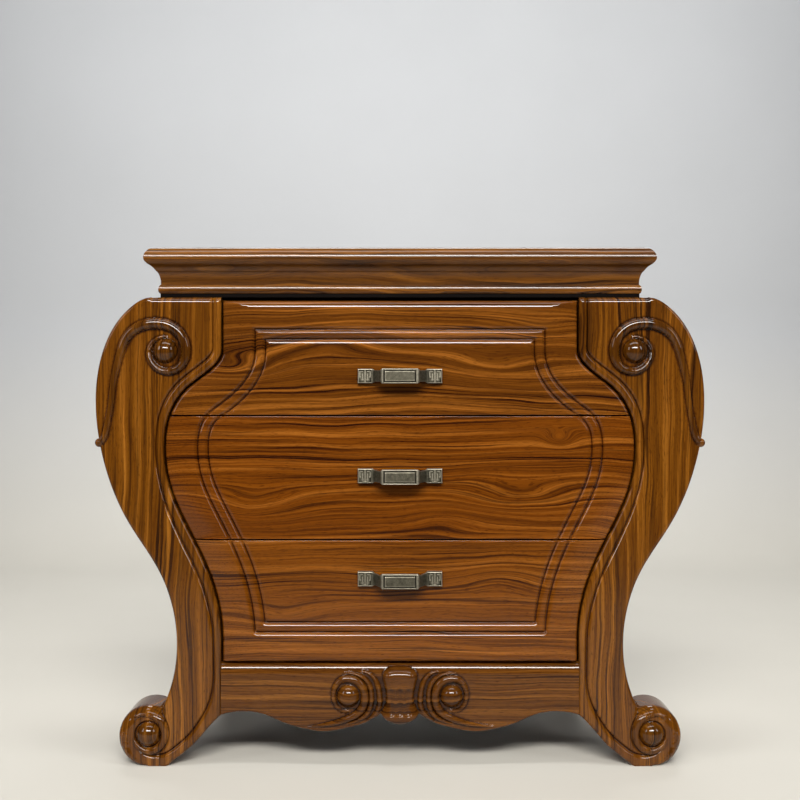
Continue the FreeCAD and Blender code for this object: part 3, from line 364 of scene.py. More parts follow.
class Tube:
    """A half-round moulding along a path, with half widths along it and a rise by share of its length."""
    raised, on_top = True, False

    def __init__(self, points, rise):
        rows = np.array(points)
        self.path = spline(rows[:, :2], step=1.6 * MM)
        knots = nearest(rows[:, :2], self.path)[1]
        self.knots, self.halves = knots, rows[:, 2]
        self.rise = np.array(rise, float)
        half = np.interp(shares(self.path), knots, rows[:, 2])
        steps = (-1.12, -1, -0.97, -0.87, -0.68, -0.36, 0, 0.36, 0.68, 0.87, 0.97, 1, 1.12)
        self.samples = np.vstack([offset(self.path, half * s) for s in steps])

    def height(self, points):
        away, along = nearest(points, self.path, self.halves.max())
        s = np.clip(np.abs(away) / np.interp(along, self.knots, self.halves), 0, 1)
        return np.interp(along, self.rise[:, 0], self.rise[:, 1] * MM) * np.sqrt(1 - s ** 2)


class Groove:
    """A profile of (offset to the left, height) along a path, in millimetres."""
    raised = False

    def __init__(self, path, profile, on_top=False):
        self.path, self.on_top = path, on_top
        self.profile = np.array(profile, float) * MM
        ends = self.profile[0, 0] - 0.8 * MM, self.profile[-1, 0] + 0.8 * MM
        self.samples = np.vstack([offset(path, s) for s in (*self.profile[:, 0], *ends)])
        if on_top:
            radii = self.profile[self.profile[:, 0] > 0, 0]
            rings = [arc(end, r, 0, math.tau, 1.2 * MM) for end in (path[0], path[-1]) for r in radii]
            self.samples = np.vstack([self.samples, *rings])

    def height(self, points):
        away = nearest(points, self.path, np.abs(self.profile[:, 0]).max())[0]
        return np.interp(away, self.profile[:, 0], self.profile[:, 1], left=0, right=0)


class Dome:
    """A carved eye: the cap of a sphere."""
    raised, on_top = True, False

    def __init__(self, centre, radius, rise):
        self.centre, self.radius, self.rise = np.array(centre), radius, rise
        steps = (1.06, 1, 0.97, 0.9, 0.78, 0.62, 0.44, 0.24)
        self.samples = np.vstack([arc(centre, radius * s, 0, math.tau, 1.7 * MM) for s in steps] + [[centre]])

    def height(self, points):
        ball = (self.radius ** 2 + self.rise ** 2) / (2 * self.rise)
        r = np.hypot(*(points - self.centre).T)
        return np.maximum(np.sqrt(np.maximum(ball ** 2 - r ** 2, 0)) - (ball - self.rise), 0)


class Plate:
    """A raised field inside a loop, with a rounded edge."""
    raised, on_top = True, False

    def __init__(self, loop, rise, radius):
        self.loop, self.rise, self.radius = closed(loop), rise, radius
        turns = (-0.12, 0, 0.02, 0.08, 0.18, 0.32, 0.5, 0.72, 1)
        self.samples = np.vstack([offset(self.loop, radius * s) for s in turns])

    def height(self, points):
        away = np.abs(nearest(points, self.loop, self.radius)[0])
        near = np.clip(1 - away / self.radius, 0, 1)
        return np.where(inside(points, self.loop[:-1]), self.rise - self.radius * (1 - np.sqrt(1 - near ** 2)), 0)


class Sunk:
    """A sunk rectangular ground with a sharp rim."""
    raised, on_top = False, False

    def __init__(self, centre, half, height, depth):
        self.centre, self.half, self.depth = np.array(centre), np.array([half, height]), depth
        self.slope = 0.35 * MM
        found = []
        for grow in (0, -self.slope):
            a, b = half + grow, height + grow
            ring = [(a, b), (-a, b), (-a, -b), (a, -b)]
            for p, q in zip(ring, ring[1:] + ring[:1]):
                found.append(line(np.add(centre, p), np.add(centre, q), 0.9 * MM))
        self.samples = np.vstack(found)

    def height(self, points):
        within = (self.half - np.abs(points - self.centre)).min(1)
        return -self.depth * np.clip(within / self.slope, 0, 1)


# Boards

class Edge:
    """Part of an outline, with the depth and width that round it and a gentle fall towards it."""

    def __init__(self, path, depth, width=None, fall=0.0, reach=1.0):
        self.path, self.depth, self.fall, self.reach = path, np.asarray(depth), fall, reach
        self.width = self.depth if width is None else np.asarray(width)
        width = self.along(self.width, shares(path))
        steps = [1 - math.cos(math.radians(angle)) for angle in (15, 30, 45, 60, 75, 90)]
        found = [offset(path, width * s) for s in steps]
        if fall:
            found += [offset(path, reach * s) for s in (0.3, 0.45, 0.6, 0.8)]
        self.samples = np.vstack(found)

    def along(self, sizes, share):
        return np.interp(share, np.linspace(0, 1, sizes.size), sizes.ravel())

    def drop(self, points):
        away, share = nearest(points, self.path, max(self.width.max(), self.reach if self.fall else 0))
        near = np.clip(1 - np.abs(away) / self.along(self.width, share), 0, 1)
        fall = self.fall * np.clip(1 - np.abs(away) / self.reach, 0, 1) ** 2
        return self.along(self.depth, share) * (1 - np.sqrt(1 - near ** 2)) + fall


def thinned(points, gap):
    """Points at least about a gap apart."""
    return points[np.unique(np.round(points / gap), axis=0, return_index=True)[1]]


def away_from(points, others, gap):
    """Those points that lie further than a gap from all the others."""
    tree = KDTree(len(others))
    for i, (x, z) in enumerate(others):
        tree.insert((x, z, 0), i)
    tree.balance()
    return np.array([p for p in points if tree.find((p[0], p[1], 0))[2] > gap]).reshape(-1, 2)


def triangles(loop, groups, spacing):
    """Points and triangles over a loop: those of the groups, and a field of points between them."""
    points = loop
    low, high = loop.min(0), loop.max(0)
    rows = np.arange(low[1], high[1], spacing * 0.866)
    field = [(x + (k % 2) * spacing / 2, z) for k, z in enumerate(rows)
             for x in np.arange(low[0], high[0], spacing)]
    wanted = [(thinned(group, LEAST_GRID), LEAST_GAP) for group in groups] + [(np.array(field), spacing * 0.7)]
    for group, gap in wanted:
        group = group[inside(group, loop)]
        group = away_from(group, points, gap)
        points = np.vstack([points, group])
    count = len(loop)
    ring = [(i, (i + 1) % count) for i in range(count)]
    made = delaunay_2d_cdt([Vector(p) for p in points], ring, [], 1, 1e-7)
    places = np.array([tuple(v) for v in made[0]])
    index = {k: i for i, origins in enumerate(made[3]) for k in origins}
    return places, [tuple(face) for face in made[2]], [index[i] for i in range(count)]


def made_mesh(name, verts, faces, edges=()):
    """A mesh of its vertices and faces."""
    mesh = bpy.data.meshes.new(name)
    mesh.from_pydata(verts, edges, faces)
    return mesh


def read(data, name, width, kind=np.float32):
    """What all the members of some mesh data hold under a name, in rows."""
    values = np.zeros(len(data) * width, kind)
    data.foreach_get(name, values)
    return values.reshape(-1, width)


def set_shade_and_wear(mesh, values):
    """A mesh with a value at each place for painted shade and rubbing: half on flats, more on edges and less in
    hollows.
    """
    data = mesh.attributes.get("shade_and_wear") or mesh.attributes.new("shade_and_wear", "FLOAT", "POINT")
    data.data.foreach_set("value", values.astype(np.float32))
    return mesh


def bend_shade_and_wear(mesh, rounds):
    """A mesh with painted shade in its hollows and rubbing on its edges, both from how its faces meet, evened out
    in rounds.
    """
    count = len(mesh.vertices)
    places, normals = read(mesh.vertices, "co", 3), read(mesh.vertex_normals, "vector", 3)
    edges = read(mesh.edges, "vertices", 2, np.int32)
    a, b = np.concatenate([edges, edges[:, ::-1]]).T
    way = places[b] - places[a]
    slope = -(way * normals[a]).sum(1) / np.maximum(np.linalg.norm(way, axis=1), 1e-9)
    # Low values in hollows and creases become painted shade in the materials
    near = np.maximum(np.bincount(a, minlength=count), 1)
    shade_and_wear = np.clip(np.bincount(a, slope, count) / near, -0.5, 0.5)
    for _ in range(rounds):
        shade_and_wear = 0.4 * shade_and_wear + 0.6 * np.bincount(a, shade_and_wear[b], count) / near
    return set_shade_and_wear(mesh, 0.5 + shade_and_wear)


def smoothed(mesh, angle=40):
    """Smooth faces, with sharp edges where two faces meet at more than an angle."""
    mesh.polygons.foreach_set("use_smooth", np.ones(len(mesh.polygons), bool))
    mesh.set_sharp_from_angle(angle=math.radians(angle))
    return mesh


TRUE_NORMALS = {}


def shaded(mesh, count, normals):
    """A mesh with true normals on its carved front, which is its first faces."""
    TRUE_NORMALS[mesh.name] = count, normals
    index = read(mesh.loops, "vertex_index", 1, np.int32).ravel()
    last = mesh.polygons[count].loop_start
    corners = np.zeros((len(index), 3))
    corners[:last] = normals[index[:last]]
    mesh.normals_split_custom_set(corners.tolist())
    return mesh


def board(name, edges, front, back, carving, spacing, rows=3, hollow=2 * MM):
    """A carved board: an outline of edges run anticlockwise, between its front and its back.

    Places that lie deeper than those round them, a hollow's distance away, get painted shade. Without that
    distance the painted shade, and the rubbing of edges, come from how the faces meet.
    """
    loop = np.vstack([edge.path[:-1] for edge in edges])
    places, faces, rim = triangles(loop, [part.samples for part in (*edges, *carving)], spacing)

    def carved(points):
        raised, cut, on_top = (np.zeros(len(points)) for _ in range(3))
        for piece in carving:
            height = piece.height(points)
            if piece.raised:
                raised = np.maximum(raised, height)
            elif piece.on_top:
                on_top += height
            else:
                cut = np.minimum(cut, height) + np.maximum(height, 0)
        drop = np.max([edge.drop(points) for edge in edges], axis=0)
        plane = front(points) if callable(front) else front
        return plane + drop - np.where(raised > 0, raised, cut) - on_top

    depth = carved(places)
    slopes = [(carved(places + way) - depth) / SLOPE_STEP for way in ((SLOPE_STEP, 0), (0, SLOPE_STEP))]
    normals = np.stack([slopes[0], -np.ones(len(places)), slopes[1]], 1)
    normals /= np.linalg.norm(normals, axis=1)[:, None]
    normals[np.hypot(*slopes) > STEEPEST] = 0
    normals[rim] = 0
    verts = [np.stack([places[:, 0], depth, places[:, 1]], 1)]
    faces, shown = list(faces), len(faces)
    count = len(rim)
    rear = back(places[rim]) if callable(back) else np.full(count, back)
    above, total = rim, len(places)
    for k in range(1, rows + 1):
        y = depth[rim] + (rear - depth[rim]) * (k / rows)
        verts.append(np.stack([places[rim, 0], y, places[rim, 1]], 1))
        row = list(range(total, total + count))
        total += count
        faces += [(above[(i + 1) % count], above[i], row[i], row[(i + 1) % count]) for i in range(count)]
        above = row
    if callable(back):
        inner = sorted(set(range(len(places))) - set(rim))
        place = dict(zip(rim + inner, [*above, *range(total, total + len(inner))]))
        verts.append(np.stack([places[inner, 0], back(places[inner]), places[inner, 1]], 1))
        faces += [tuple(place[i] for i in reversed(face)) for face in faces[:shown]]
    else:
        faces.append(tuple(reversed(above)))
    mesh = smoothed(made_mesh(name, np.vstack(verts).tolist(), faces))
    if hollow is None:
        bend_shade_and_wear(mesh, 1)
    else:
        # Painted shade: how much deeper a place lies than a ring of places round it
        ring = arc((0, 0), hollow, 0, math.tau * 7 / 8, hollow * math.pi / 4)
        bend = (np.mean([carved(places + way) for way in ring], axis=0) - depth) / hollow
        bend[np.abs(nearest(places, closed(loop), 2 * hollow)[0]) < 2 * hollow] = 0
        shade_and_wear = np.full(len(mesh.vertices), 0.5)
        shade_and_wear[:len(places)] += np.clip(bend, -0.5, 0.5)
        set_shade_and_wear(mesh, shade_and_wear)
    return shaded(mesh, shown, normals)


def mirrored(mesh, name):
    """A mesh for the left side."""
    copy = mesh.copy()
    copy.name = name
    places = read(copy.vertices, "co", 3) * np.array((-1, 1, 1), np.float32)
    copy.vertices.foreach_set("co", places.ravel())
    copy.flip_normals()
    copy.update()
    if mesh.name in TRUE_NORMALS:
        count, normals = TRUE_NORMALS[mesh.name]
        shaded(copy, count, normals * (-1, 1, 1))
    return copy


# Legs

def leg_place(shares):
    """A place on the right leg, from shares of its reach and rise."""
    return OPENING_HALF + shares[0] * LEG_REACH, FOOT_HEIGHT + shares[1] * LEG_RISE


INNER_LINE = spline([leg_place(shares) for shares in INNER_SHARES], (0, 1), (0, 1))
S_LOW, S_HIGH = INNER_LINE[0, 1], INNER_LINE[-1, 1]
FOOT_CENTRE = (FOOT_X, FOOT_RADIUS)
LEG_TOP = (OPENING_HALF, LEG_HEIGHT)


def opening(z):
    """Half the width between the legs at each height."""
    return np.interp(z, INNER_LINE[:, 1], INNER_LINE[:, 0])


def beside_legs(inset, low, high):
    """The line beside the right leg between two heights, moved from its inner edge by an inset."""
    below, above = line((OPENING_HALF, 0), INNER_LINE[0]), line(INNER_LINE[-1], LEG_TOP)
    edge = np.vstack([below[:-1], INNER_LINE, above[1:]])
    moved = offset(edge, inset)
    z = np.linspace(low, high, round((high - low) / (2 * MM)))
    return np.stack([np.interp(z, moved[:, 1], moved[:, 0]), z], 1)


CREASE_PLACE = (FOOT_X + FOOT_RADIUS * math.cos(CREASE), FOOT_RADIUS + FOOT_RADIUS * math.sin(CREASE))
OUTER_PLACES = [leg_place(shares) for shares in OUTER_SHARES]
OUTER_LINE = spline([(SHOULDER_X, LEG_HEIGHT)] + OUTER_PLACES + [CREASE_PLACE], (1, 0))
UPPER_INNER = np.vstack([line(LEG_TOP, (OPENING_HALF, S_HIGH))[:-1], INNER_LINE[::-1]])


def front_leg_edges():
    """The outline of the right front leg, in edges."""
    instep = [(OPENING_HALF + out * LEG_REACH, up * FOOT_HEIGHT) for out, up in INSTEP_SHARES]
    heel = (OPENING_HALF, HEEL_Z)
    return [
        Edge(line((SOLE_X, 0), (FOOT_X, 0)), SOLE_ROUND),
        Edge(arc(FOOT_CENTRE, FOOT_RADIUS, -math.pi / 2, CREASE), FOOT_ROUNDS, FOOT_WIDTHS),
        Edge(OUTER_LINE[::-1], OUTER_ROUND),
        Edge(line((SHOULDER_X, LEG_HEIGHT), LEG_TOP), TOP_ROUND),
        Edge(np.vstack([UPPER_INNER[:-1], line((OPENING_HALF, S_LOW), heel)]), INNER_ROUND, INNER_WIDTH),
        Edge(spline([(SOLE_X, 0)] + instep + [heel])[::-1], OUTER_ROUND),
    ]


def rear_leg_edges():
    """The outline of the right rear leg, which has a plain foot, in edges."""
    outside, inside_foot = (CREASE_PLACE[0] + REAR_FLARE, 0), (OPENING_HALF + REAR_TAPER, 0)
    return [
        Edge(line(inside_foot, outside), SOLE_ROUND),
        Edge(np.vstack([line(outside, CREASE_PLACE)[:-1], OUTER_LINE[::-1]]), REAR_ROUND),
        Edge(line((SHOULDER_X, LEG_HEIGHT), LEG_TOP), REAR_ROUND),
        Edge(np.vstack([UPPER_INNER[:-1], line((OPENING_HALF, S_LOW), inside_foot)]), REAR_ROUND),
    ]


def turned(eye, rows):
    """Points of (x, z, half width) from rows of (heading in degrees, reach from an eye, half width)."""
    points = []
    for degrees, reach, half in rows:
        turn = math.radians(degrees)
        points.append((eye[0] + reach * MM * math.cos(turn), eye[1] + reach * MM * math.sin(turn), half * MM))
    return points


def knee_stem():
    """Points of (x, z, half width) along the stem of the knee and its coil."""
    return [(*leg_place(row), row[2] * MM) for row in KNEE_STEM] + turned(KNEE_EYE, KNEE_COIL)


def leg_groove():
    """The line of the groove, from the scroll of the foot up beside the inner edge."""
    heights, table = np.arange(*GROOVE_HEIGHTS) * MM, np.array(GROOVE_OFFSETS) * MM
    edge = np.stack([opening(heights), heights], 1)
    beside = offset(edge, -np.interp(heights, table[:, 0], table[:, 1]))
    path = spline(np.vstack([np.array(GROOVE_SWEEP) * MM, beside]))
    return path[path[:, 1] < LEG_HEIGHT]


def front_leg():
    """The right front leg with its carving."""
    ring = arc(FOOT_EYE, FOOT_RING_RADIUS, 0, math.tau, 1.6 * MM)
    spiral = spline(np.array(FOOT_SPIRAL) * MM)
    carving = [
        Groove(leg_groove(), GROOVE_PROFILE),
        Groove(spiral, FOOT_RING_PROFILE),
        Groove(ring, FOOT_RING_PROFILE),
        Tube(turned(FOOT_EYE, FOOT_BAND), FOOT_BAND_RISE),
        Dome(FOOT_EYE, FOOT_EYE_RADIUS, FOOT_EYE_RISE),
        Dome(KNEE_EYE, KNEE_EYE_RADIUS, KNEE_EYE_RISE),
        Tube(knee_stem(), KNEE_TUBE_RISE),
    ]
    return board("front_right_leg_looks", front_leg_edges(), LEG_FRONT, LEG_BACK, carving, CARVED_SPACING, 8)


def ball(name, centre, radius, rings=14):
    """A small carved ball."""
    turns = 2 * rings
    tilt = np.repeat(math.pi * np.arange(1, rings) / rings, turns)
    turn = np.tile(math.tau * np.arange(turns) / turns, rings - 1)
    ways = np.stack([np.sin(tilt) * np.cos(turn), np.sin(tilt) * np.sin(turn), np.cos(tilt)], 1)
    verts = np.vstack([ways, [(0, 0, 1), (0, 0, -1)]]) * radius + centre
    faces = []
    for i in range(rings - 2):
        for k in range(turns):
            a, b = i * turns + k, i * turns + (k + 1) % turns
            faces.append((a, a + turns, b + turns, b))
    high, low, last = len(ways), len(ways) + 1, len(ways) - turns
    for k in range(turns):
        after = (k + 1) % turns
        faces += [(high, k, after), (low, last + after, last + k)]
    return bend_shade_and_wear(smoothed(made_mesh(name, verts.tolist(), faces), 80), 4)


# Drawer fronts

def bead_loop(order):
    """The line of one of the two beads that frame the drawers, as a closed loop run anticlockwise."""
    low = FRONT_BOXES[0][0].z + BEAD_BOTTOM_RISES[order]
    high = FRONT_BOXES[-1][1].z - BEAD_TOP_DROPS[order]
    right = beside_legs(BEAD_INSETS[order], low, high)
    left = flipped(right)
    return np.vstack([right, line(right[-1], left[0], 2 * MM)[1:-1], left, line(left[-1], right[0], 2 * MM)[1:]])


def drawer_front(i, beads):
    """A drawer front: its side edges follow the legs, and all outer edges are pillowed."""
    low, high = FRONT_BOXES[i][0].z, FRONT_BOXES[i][1].z
    right = beside_legs(SIDE_GAP, low, high)
    left = flipped(right)
    lower, upper = line(left[-1], right[0]), line(right[-1], left[0])
    edges = [
        Edge(lower, PILLOW_ROUND, PILLOW_TOP_WIDTH) if i == 0 else Edge(lower, BREAK_ROUND),
        Edge(right, SIDE_ROUND, None, PILLOW_FALL, PILLOW_REACH),
        Edge(upper, PILLOW_ROUND, PILLOW_TOP_WIDTH) if i == len(DRAWERS) - 1 else Edge(upper, BREAK_ROUND),
        Edge(left, SIDE_ROUND, None, PILLOW_FALL, PILLOW_REACH),
    ]
    return board(DRAWERS[i] + "_front", edges, FACE_Y, FACE_BACK, beads, FRONT_SPACING, 2)


# Apron

def apron():
    """The apron with its scrolls and fluted shield."""
    top = APRON_BOX[1].z
    right = spline(np.array(APRON_CURVE) * MM)
    left = flipped(right)
    foot = SHIELD_SIDE[-1][1] * MM
    lobe = spline([right[-1], (0, foot), left[0]], (-0.5, -0.9), (-0.5, 0.9))
    edges = [
        Edge(line(left[-1], left[-1] * (1, 0) + (0, top))[::-1], BREAK_ROUND),
        Edge(np.vstack([left[::-1][:-1], lobe[::-1][:-1], right[::-1]]), APRON_EDGE_ROUND),
        Edge(line(right[0], right[0] * (1, 0) + (0, top)), BREAK_ROUND),
        Edge(line((right[0, 0], top), (left[-1, 0], top)), APRON_TOP_ROUND, APRON_TOP_WIDTH),
    ]
    side = spline(np.array(SHIELD_SIDE) * MM, (1, 0), (-1, 0))[::-1]
    shield = np.vstack([side[:-1], flipped(side)[:-1]])
    carving = [Plate(shield, SHIELD_RISE, SHIELD_ROUND)]
    for x in (-FLUTE_X, 0, FLUTE_X):
        carving.append(Groove(line((x, FLUTE_LOW), (x, FLUTE_HIGH), 1.5 * MM), FLUTE_PROFILE, True))
    for side in (-1, 1):
        eye = (side * APRON_EYE[0], APRON_EYE[1])
        carving.append(Dome(eye, APRON_EYE_RADIUS, APRON_EYE_RISE))
        for band in APRON_BANDS:
            carving.append(Tube(np.array(band) * (side * MM, MM, MM), APRON_BAND_RISE))
    return board("apron", edges, LEG_FRONT + APRON_SETBACK, APRON_BOX[1].y, carving, CARVED_SPACING)


# Node trees

def fill(tree, made, inputs):
    """A node whose inputs are set to values or joined to links."""
    for key, value in inputs.items():
        if isinstance(value, bpy.types.NodeSocket):
            tree.links.new(value, made.inputs[key])
        else:
            made.inputs[key].default_value = value
    return made


def node(tree, kind, inputs=None, out=0, **options):
    """An output of a new node with its options and inputs, or all its outputs when out is None."""
    made = tree.nodes.new(kind)
    for name, value in options.items():
        setattr(made, name, value)
    fill(tree, made, inputs or {})
    return made.outputs if out is None else made.outputs[out]


def maths(tree, operation, a, b=0.0):
    """A sum of two values or links."""
    return node(tree, "ShaderNodeMath", {0: a, 1: b}, operation=operation)


def sums(tree):
    """Ways to multiply, add and subtract two values or links."""
    return [partial(maths, tree, operation) for operation in ("MULTIPLY", "ADD", "SUBTRACT")]


def vector(tree, x, y, z):
    """A vector of three values or links."""
    return node(tree, "ShaderNodeCombineXYZ", {0: x, 1: y, 2: z})


def split(tree, link):
    """The three parts of a vector."""
    return node(tree, "ShaderNodeSeparateXYZ", {0: link}, None)


def span(tree, factor, *limits):
    """A factor between two limits, as a share or between two other limits."""
    return node(tree, "ShaderNodeMapRange", {0: factor, **dict(enumerate(limits, 1))})


def noise(tree, place, detail, roughness=0.5, scale=1.0, out=0):
    """Noise at a place."""
    return node(tree, "ShaderNodeTexNoise",
                {"Vector": place, "Scale": scale, "Detail": detail, "Roughness": roughness}, out)


def ramp(tree, factor, stops):
    """A colour ramp from stops of (place, colour)."""
    made = fill(tree, tree.nodes.new("ShaderNodeValToRGB"), {0: factor})
    elements = made.color_ramp.elements
    while len(elements) < len(stops):
        elements.new(0.5)
    for element, (place, colour) in zip(elements, stops):
        element.position = place
        element.color = (*colour, 1)
    return made.outputs[0]


def mixed(tree, factor, first, second, blend="MIX"):
    """Two colours mixed by a factor."""
    return node(tree, "ShaderNodeMix", {0: factor, 6: first, 7: second}, 2, data_type="RGBA", blend_type=blend)


def grower(name, build, inputs):
    """A node tree that builds geometry from a mesh and from other named inputs, and paints it."""
    tree = bpy.data.node_groups.new(name, "GeometryNodeTree")
    for label, kind in {"Geometry": "Geometry", **inputs, "Material": "Material"}.items():
        tree.interface.new_socket(label, in_out="INPUT", socket_type="NodeSocket" + kind)
    tree.interface.new_socket("Geometry", in_out="OUTPUT", socket_type="NodeSocketGeometry")
    given = tree.nodes.new("NodeGroupInput").outputs
    real = node(tree, "GeometryNodeRealizeInstances", {0: build(tree, given)})
    painted = node(tree, "GeometryNodeSetMaterial", {"Geometry": real, "Material": given["Material"]})
    tree.links.new(painted, tree.nodes.new("NodeGroupOutput").inputs[0])
    return tree


# Objects

def linked(name, data):
    """An object in the scene."""
    obj = bpy.data.objects.new(name, data)
    bpy.context.scene.collection.objects.link(obj)
    return obj


def piece(mesh, name, body, material, slot, *replaced):
    """An object of a mesh that rides on a body and stands for CAD nodes."""
    obj = linked(name, mesh)
    mesh.materials.clear()
    mesh.materials.append(material)
    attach(obj, body)
    if replaced:
        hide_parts(*replaced)


def pair(mesh, name, material, *replaced):
    """A lacquered piece on the right of the carcase, and its mirror image on the left."""
    left = mirrored(mesh, mesh.name.replace("right", "left"))
    for side, made in (("right", mesh), ("left", left)):
        names = [text.replace("right", side) for text in (name, *replaced)]
        piece(made, names[0], "carcase", material, LACQUER, *names[1:])


def grown(name, mesh, tree, values):
    """The mesh that a node tree makes from a mesh, with values for its named inputs."""
    obj = linked(name, mesh)
    modifier = obj.modifiers.new(tree.name, "NODES")
    modifier.node_group = tree
    for item in tree.interface.items_tree:
        if item.in_out == "INPUT" and item.name in values:
            modifier[item.identifier] = values[item.name]
    bpy.context.view_layer.update()
    graph = bpy.context.evaluated_depsgraph_get()
    made = bpy.data.meshes.new_from_object(obj.evaluated_get(graph), preserve_all_data_layers=True,
                                           depsgraph=graph)
    bpy.data.objects.remove(obj)
    made.name = name
    return made


# Moulded top

def top_profile():
    """The section of the top as a closed loop of (out from the neck, height above the base)."""
    parts = []
    for shares, start, end in zip(TOP_CURVES, TOP_STARTS, TOP_ENDS):
        places = [(out * TOP_OVERHANG, up * TOP_THICK) for out, up in shares]
        parts.append(spline(places, start, end, 1.5 * MM))
    return np.vstack(parts + [[(-TOP_FRAME_WIDTH, TOP_THICK), (-TOP_FRAME_WIDTH, 0)]])


def moulding(tree, given):
    """A profile swept along z between two ends, each cut square or to a mitre."""
    times, plus, minus = sums(tree)
    profile = node(tree, "GeometryNodeMeshToCurve", {"Mesh": given["Geometry"]})
    ends = {name: vector(tree, 0.0, 0.0, given[name]) for name in ("Start", "End")}
    path = node(tree, "GeometryNodeCurvePrimitiveLine", ends)
    swept = node(tree, "GeometryNodeCurveToMesh", {"Curve": path, "Profile Curve": profile, "Fill Caps": True})
    out, _, along = split(tree, node(tree, "GeometryNodeInputPosition"))
    at_end = maths(tree, "GREATER_THAN", along, times(plus(given["Start"], given["End"]), 0.5))
    far = times(at_end, given["End Mitre"])
    near = times(minus(1.0, at_end), given["Start Mitre"])
    move = vector(tree, 0.0, 0.0, times(out, minus(far, near)))
    return node(tree, "GeometryNodeSetPosition", {"Geometry": swept, "Offset": move})


def top_moulding(name, tree, ends, mitres, out, origin, material):
    """One member of the top's frame, moulded outwards from its origin, with its ends and mitres along it."""
    profile = top_profile()
    count = len(profile)
    mesh = made_mesh(name + "_profile", [(x, z, 0) for x, z in profile], [],
                     [(i, (i + 1) % count) for i in range(count)])
    made = grown(name, mesh, tree, {**dict(zip(MOULDING_INPUTS, (*ends, *mitres))), "Material": material})
    along = Vector(out).cross((0, 0, 1))
    turn = Matrix((out, (0, 0, 1), along)).transposed().to_4x4()
    made.transform(Matrix.Translation(origin) @ turn)
    return smoothed(made, 35)


# Side panels

def side_panel():
    """The right side panel: a board that follows the legs, with an arched lower edge."""
    middle, half = (LEG_BACK + REAR_LEG_FRONT) / 2, (REAR_LEG_FRONT - LEG_BACK) / 2
    radius = (half ** 2 + (2 * SIDE_ARCH) ** 2) / (4 * SIDE_ARCH)
    stations = np.linspace(LEG_BACK - SIDE_TONGUE, REAR_LEG_FRONT + SIDE_TONGUE, SIDE_STATIONS)
    count = SIDE_STEPS
    steps = np.linspace(0, 1, count)
    verts = []
    for y in stations:
        rise = math.sqrt(max(radius ** 2 - (y - middle) ** 2, 0)) - radius + 2 * SIDE_ARCH
        low = max(SIDE_BOTTOM, SIDE_BOTTOM - SIDE_ARCH + rise)
        for depth in (SIDE_RECESS, SIDE_RECESS + SIDE_THICK):
            edge = offset(OUTER_LINE, -depth)
            edge = edge[edge[:, 1] > low - 8 * MM]
            share = shares(edge)
            end = np.interp(low, edge[::-1, 1], share[::-1])
            x, z = (np.interp(steps * end, share, edge[:, k]) for k in range(2))
            verts += list(zip(x, np.full(count, y), z))
    faces = []
    ring = 2 * count
    order = list(range(count)) + list(range(2 * count - 1, count - 1, -1))
    for i in range(len(stations) - 1):
        for k in range(ring):
            a, b = order[k], order[(k + 1) % ring]
            faces.append((i * ring + b, i * ring + a, (i + 1) * ring + a, (i + 1) * ring + b))
    faces += [tuple(order), tuple((len(stations) - 1) * ring + k for k in reversed(order))]
    return smoothed(made_mesh("right_side_panel_looks", verts, faces))


# Pulls and screws

def pull_level(i):
    """The height of the middle of a pull."""
    low, high = PULL_BOXES[i]
    return (low.z + high.z) / 2


def pull(i):
    """A cast bridge pull: ends with a sunk ground, necks that rise outwards and a bar with a bare sunk panel."""
    level = pull_level(i)

    def rise(points):
        share = np.clip((PULL_INNER - np.abs(points[:, 0])) / (PULL_INNER - PULL_BAR), 0, 1)
        return share * share * (3 - 2 * share)

    def front(points):
        return FACE_Y - PULL_END_DEPTH - (PULL_PROJECTION - PULL_END_DEPTH) * rise(points)

    def back(points):
        return FACE_Y - (PULL_PROJECTION - PULL_BAR_THICK) * rise(points)

    corners = [(PULL_OUTER, PULL_END_HALF), (PULL_INNER, PULL_END_HALF), (PULL_INNER - PULL_RUN, PULL_WAIST_HALF),
               (PULL_BAR + PULL_RUN, PULL_WAIST_HALF), (PULL_BAR, PULL_BAR_HALF)]
    upper = corners + [(-x, h) for x, h in reversed(corners)]
    loop = upper + [(x, -h) for x, h in reversed(upper)]
    edges = [Edge(line((x0, level + h0), (x1, level + h1), 1 * MM), PULL_ROUND)
             for (x0, h0), (x1, h1) in zip(loop, loop[1:] + loop[:1])]
    grounds = [Sunk((0, level), PULL_BAR - PULL_RIM, PULL_BAR_HALF - PULL_RIM, PULL_RECESS)]
    for x in (-PULL_END_X, PULL_END_X):
        grounds.append(Sunk((x, level), PULL_END_WIDE - FRET_RIM, PULL_END_HALF - FRET_RIM, FRET_RECESS))
    half, height = PULL_BAR - PULL_PANEL_INSET, PULL_BAR_HALF - PULL_PANEL_INSET
    grounds.append(Sunk((0, level), half, height, -PULL_PANEL_RISE))
    return board(DRAWERS[i] + "_pull", edges, front, back, grounds, PULL_SPACING, 3, None)


def copied(tree, given, shape, **more):
    """Copies of a shape on the points of the given mesh, scaled by the size of each point."""
    size = node(tree, "GeometryNodeInputNamedAttribute", {"Name": "size"}, data_type="FLOAT_VECTOR")
    return node(tree, "GeometryNodeInstanceOnPoints",
                {"Points": given["Geometry"], "Instance": shape, "Scale": size, **more})


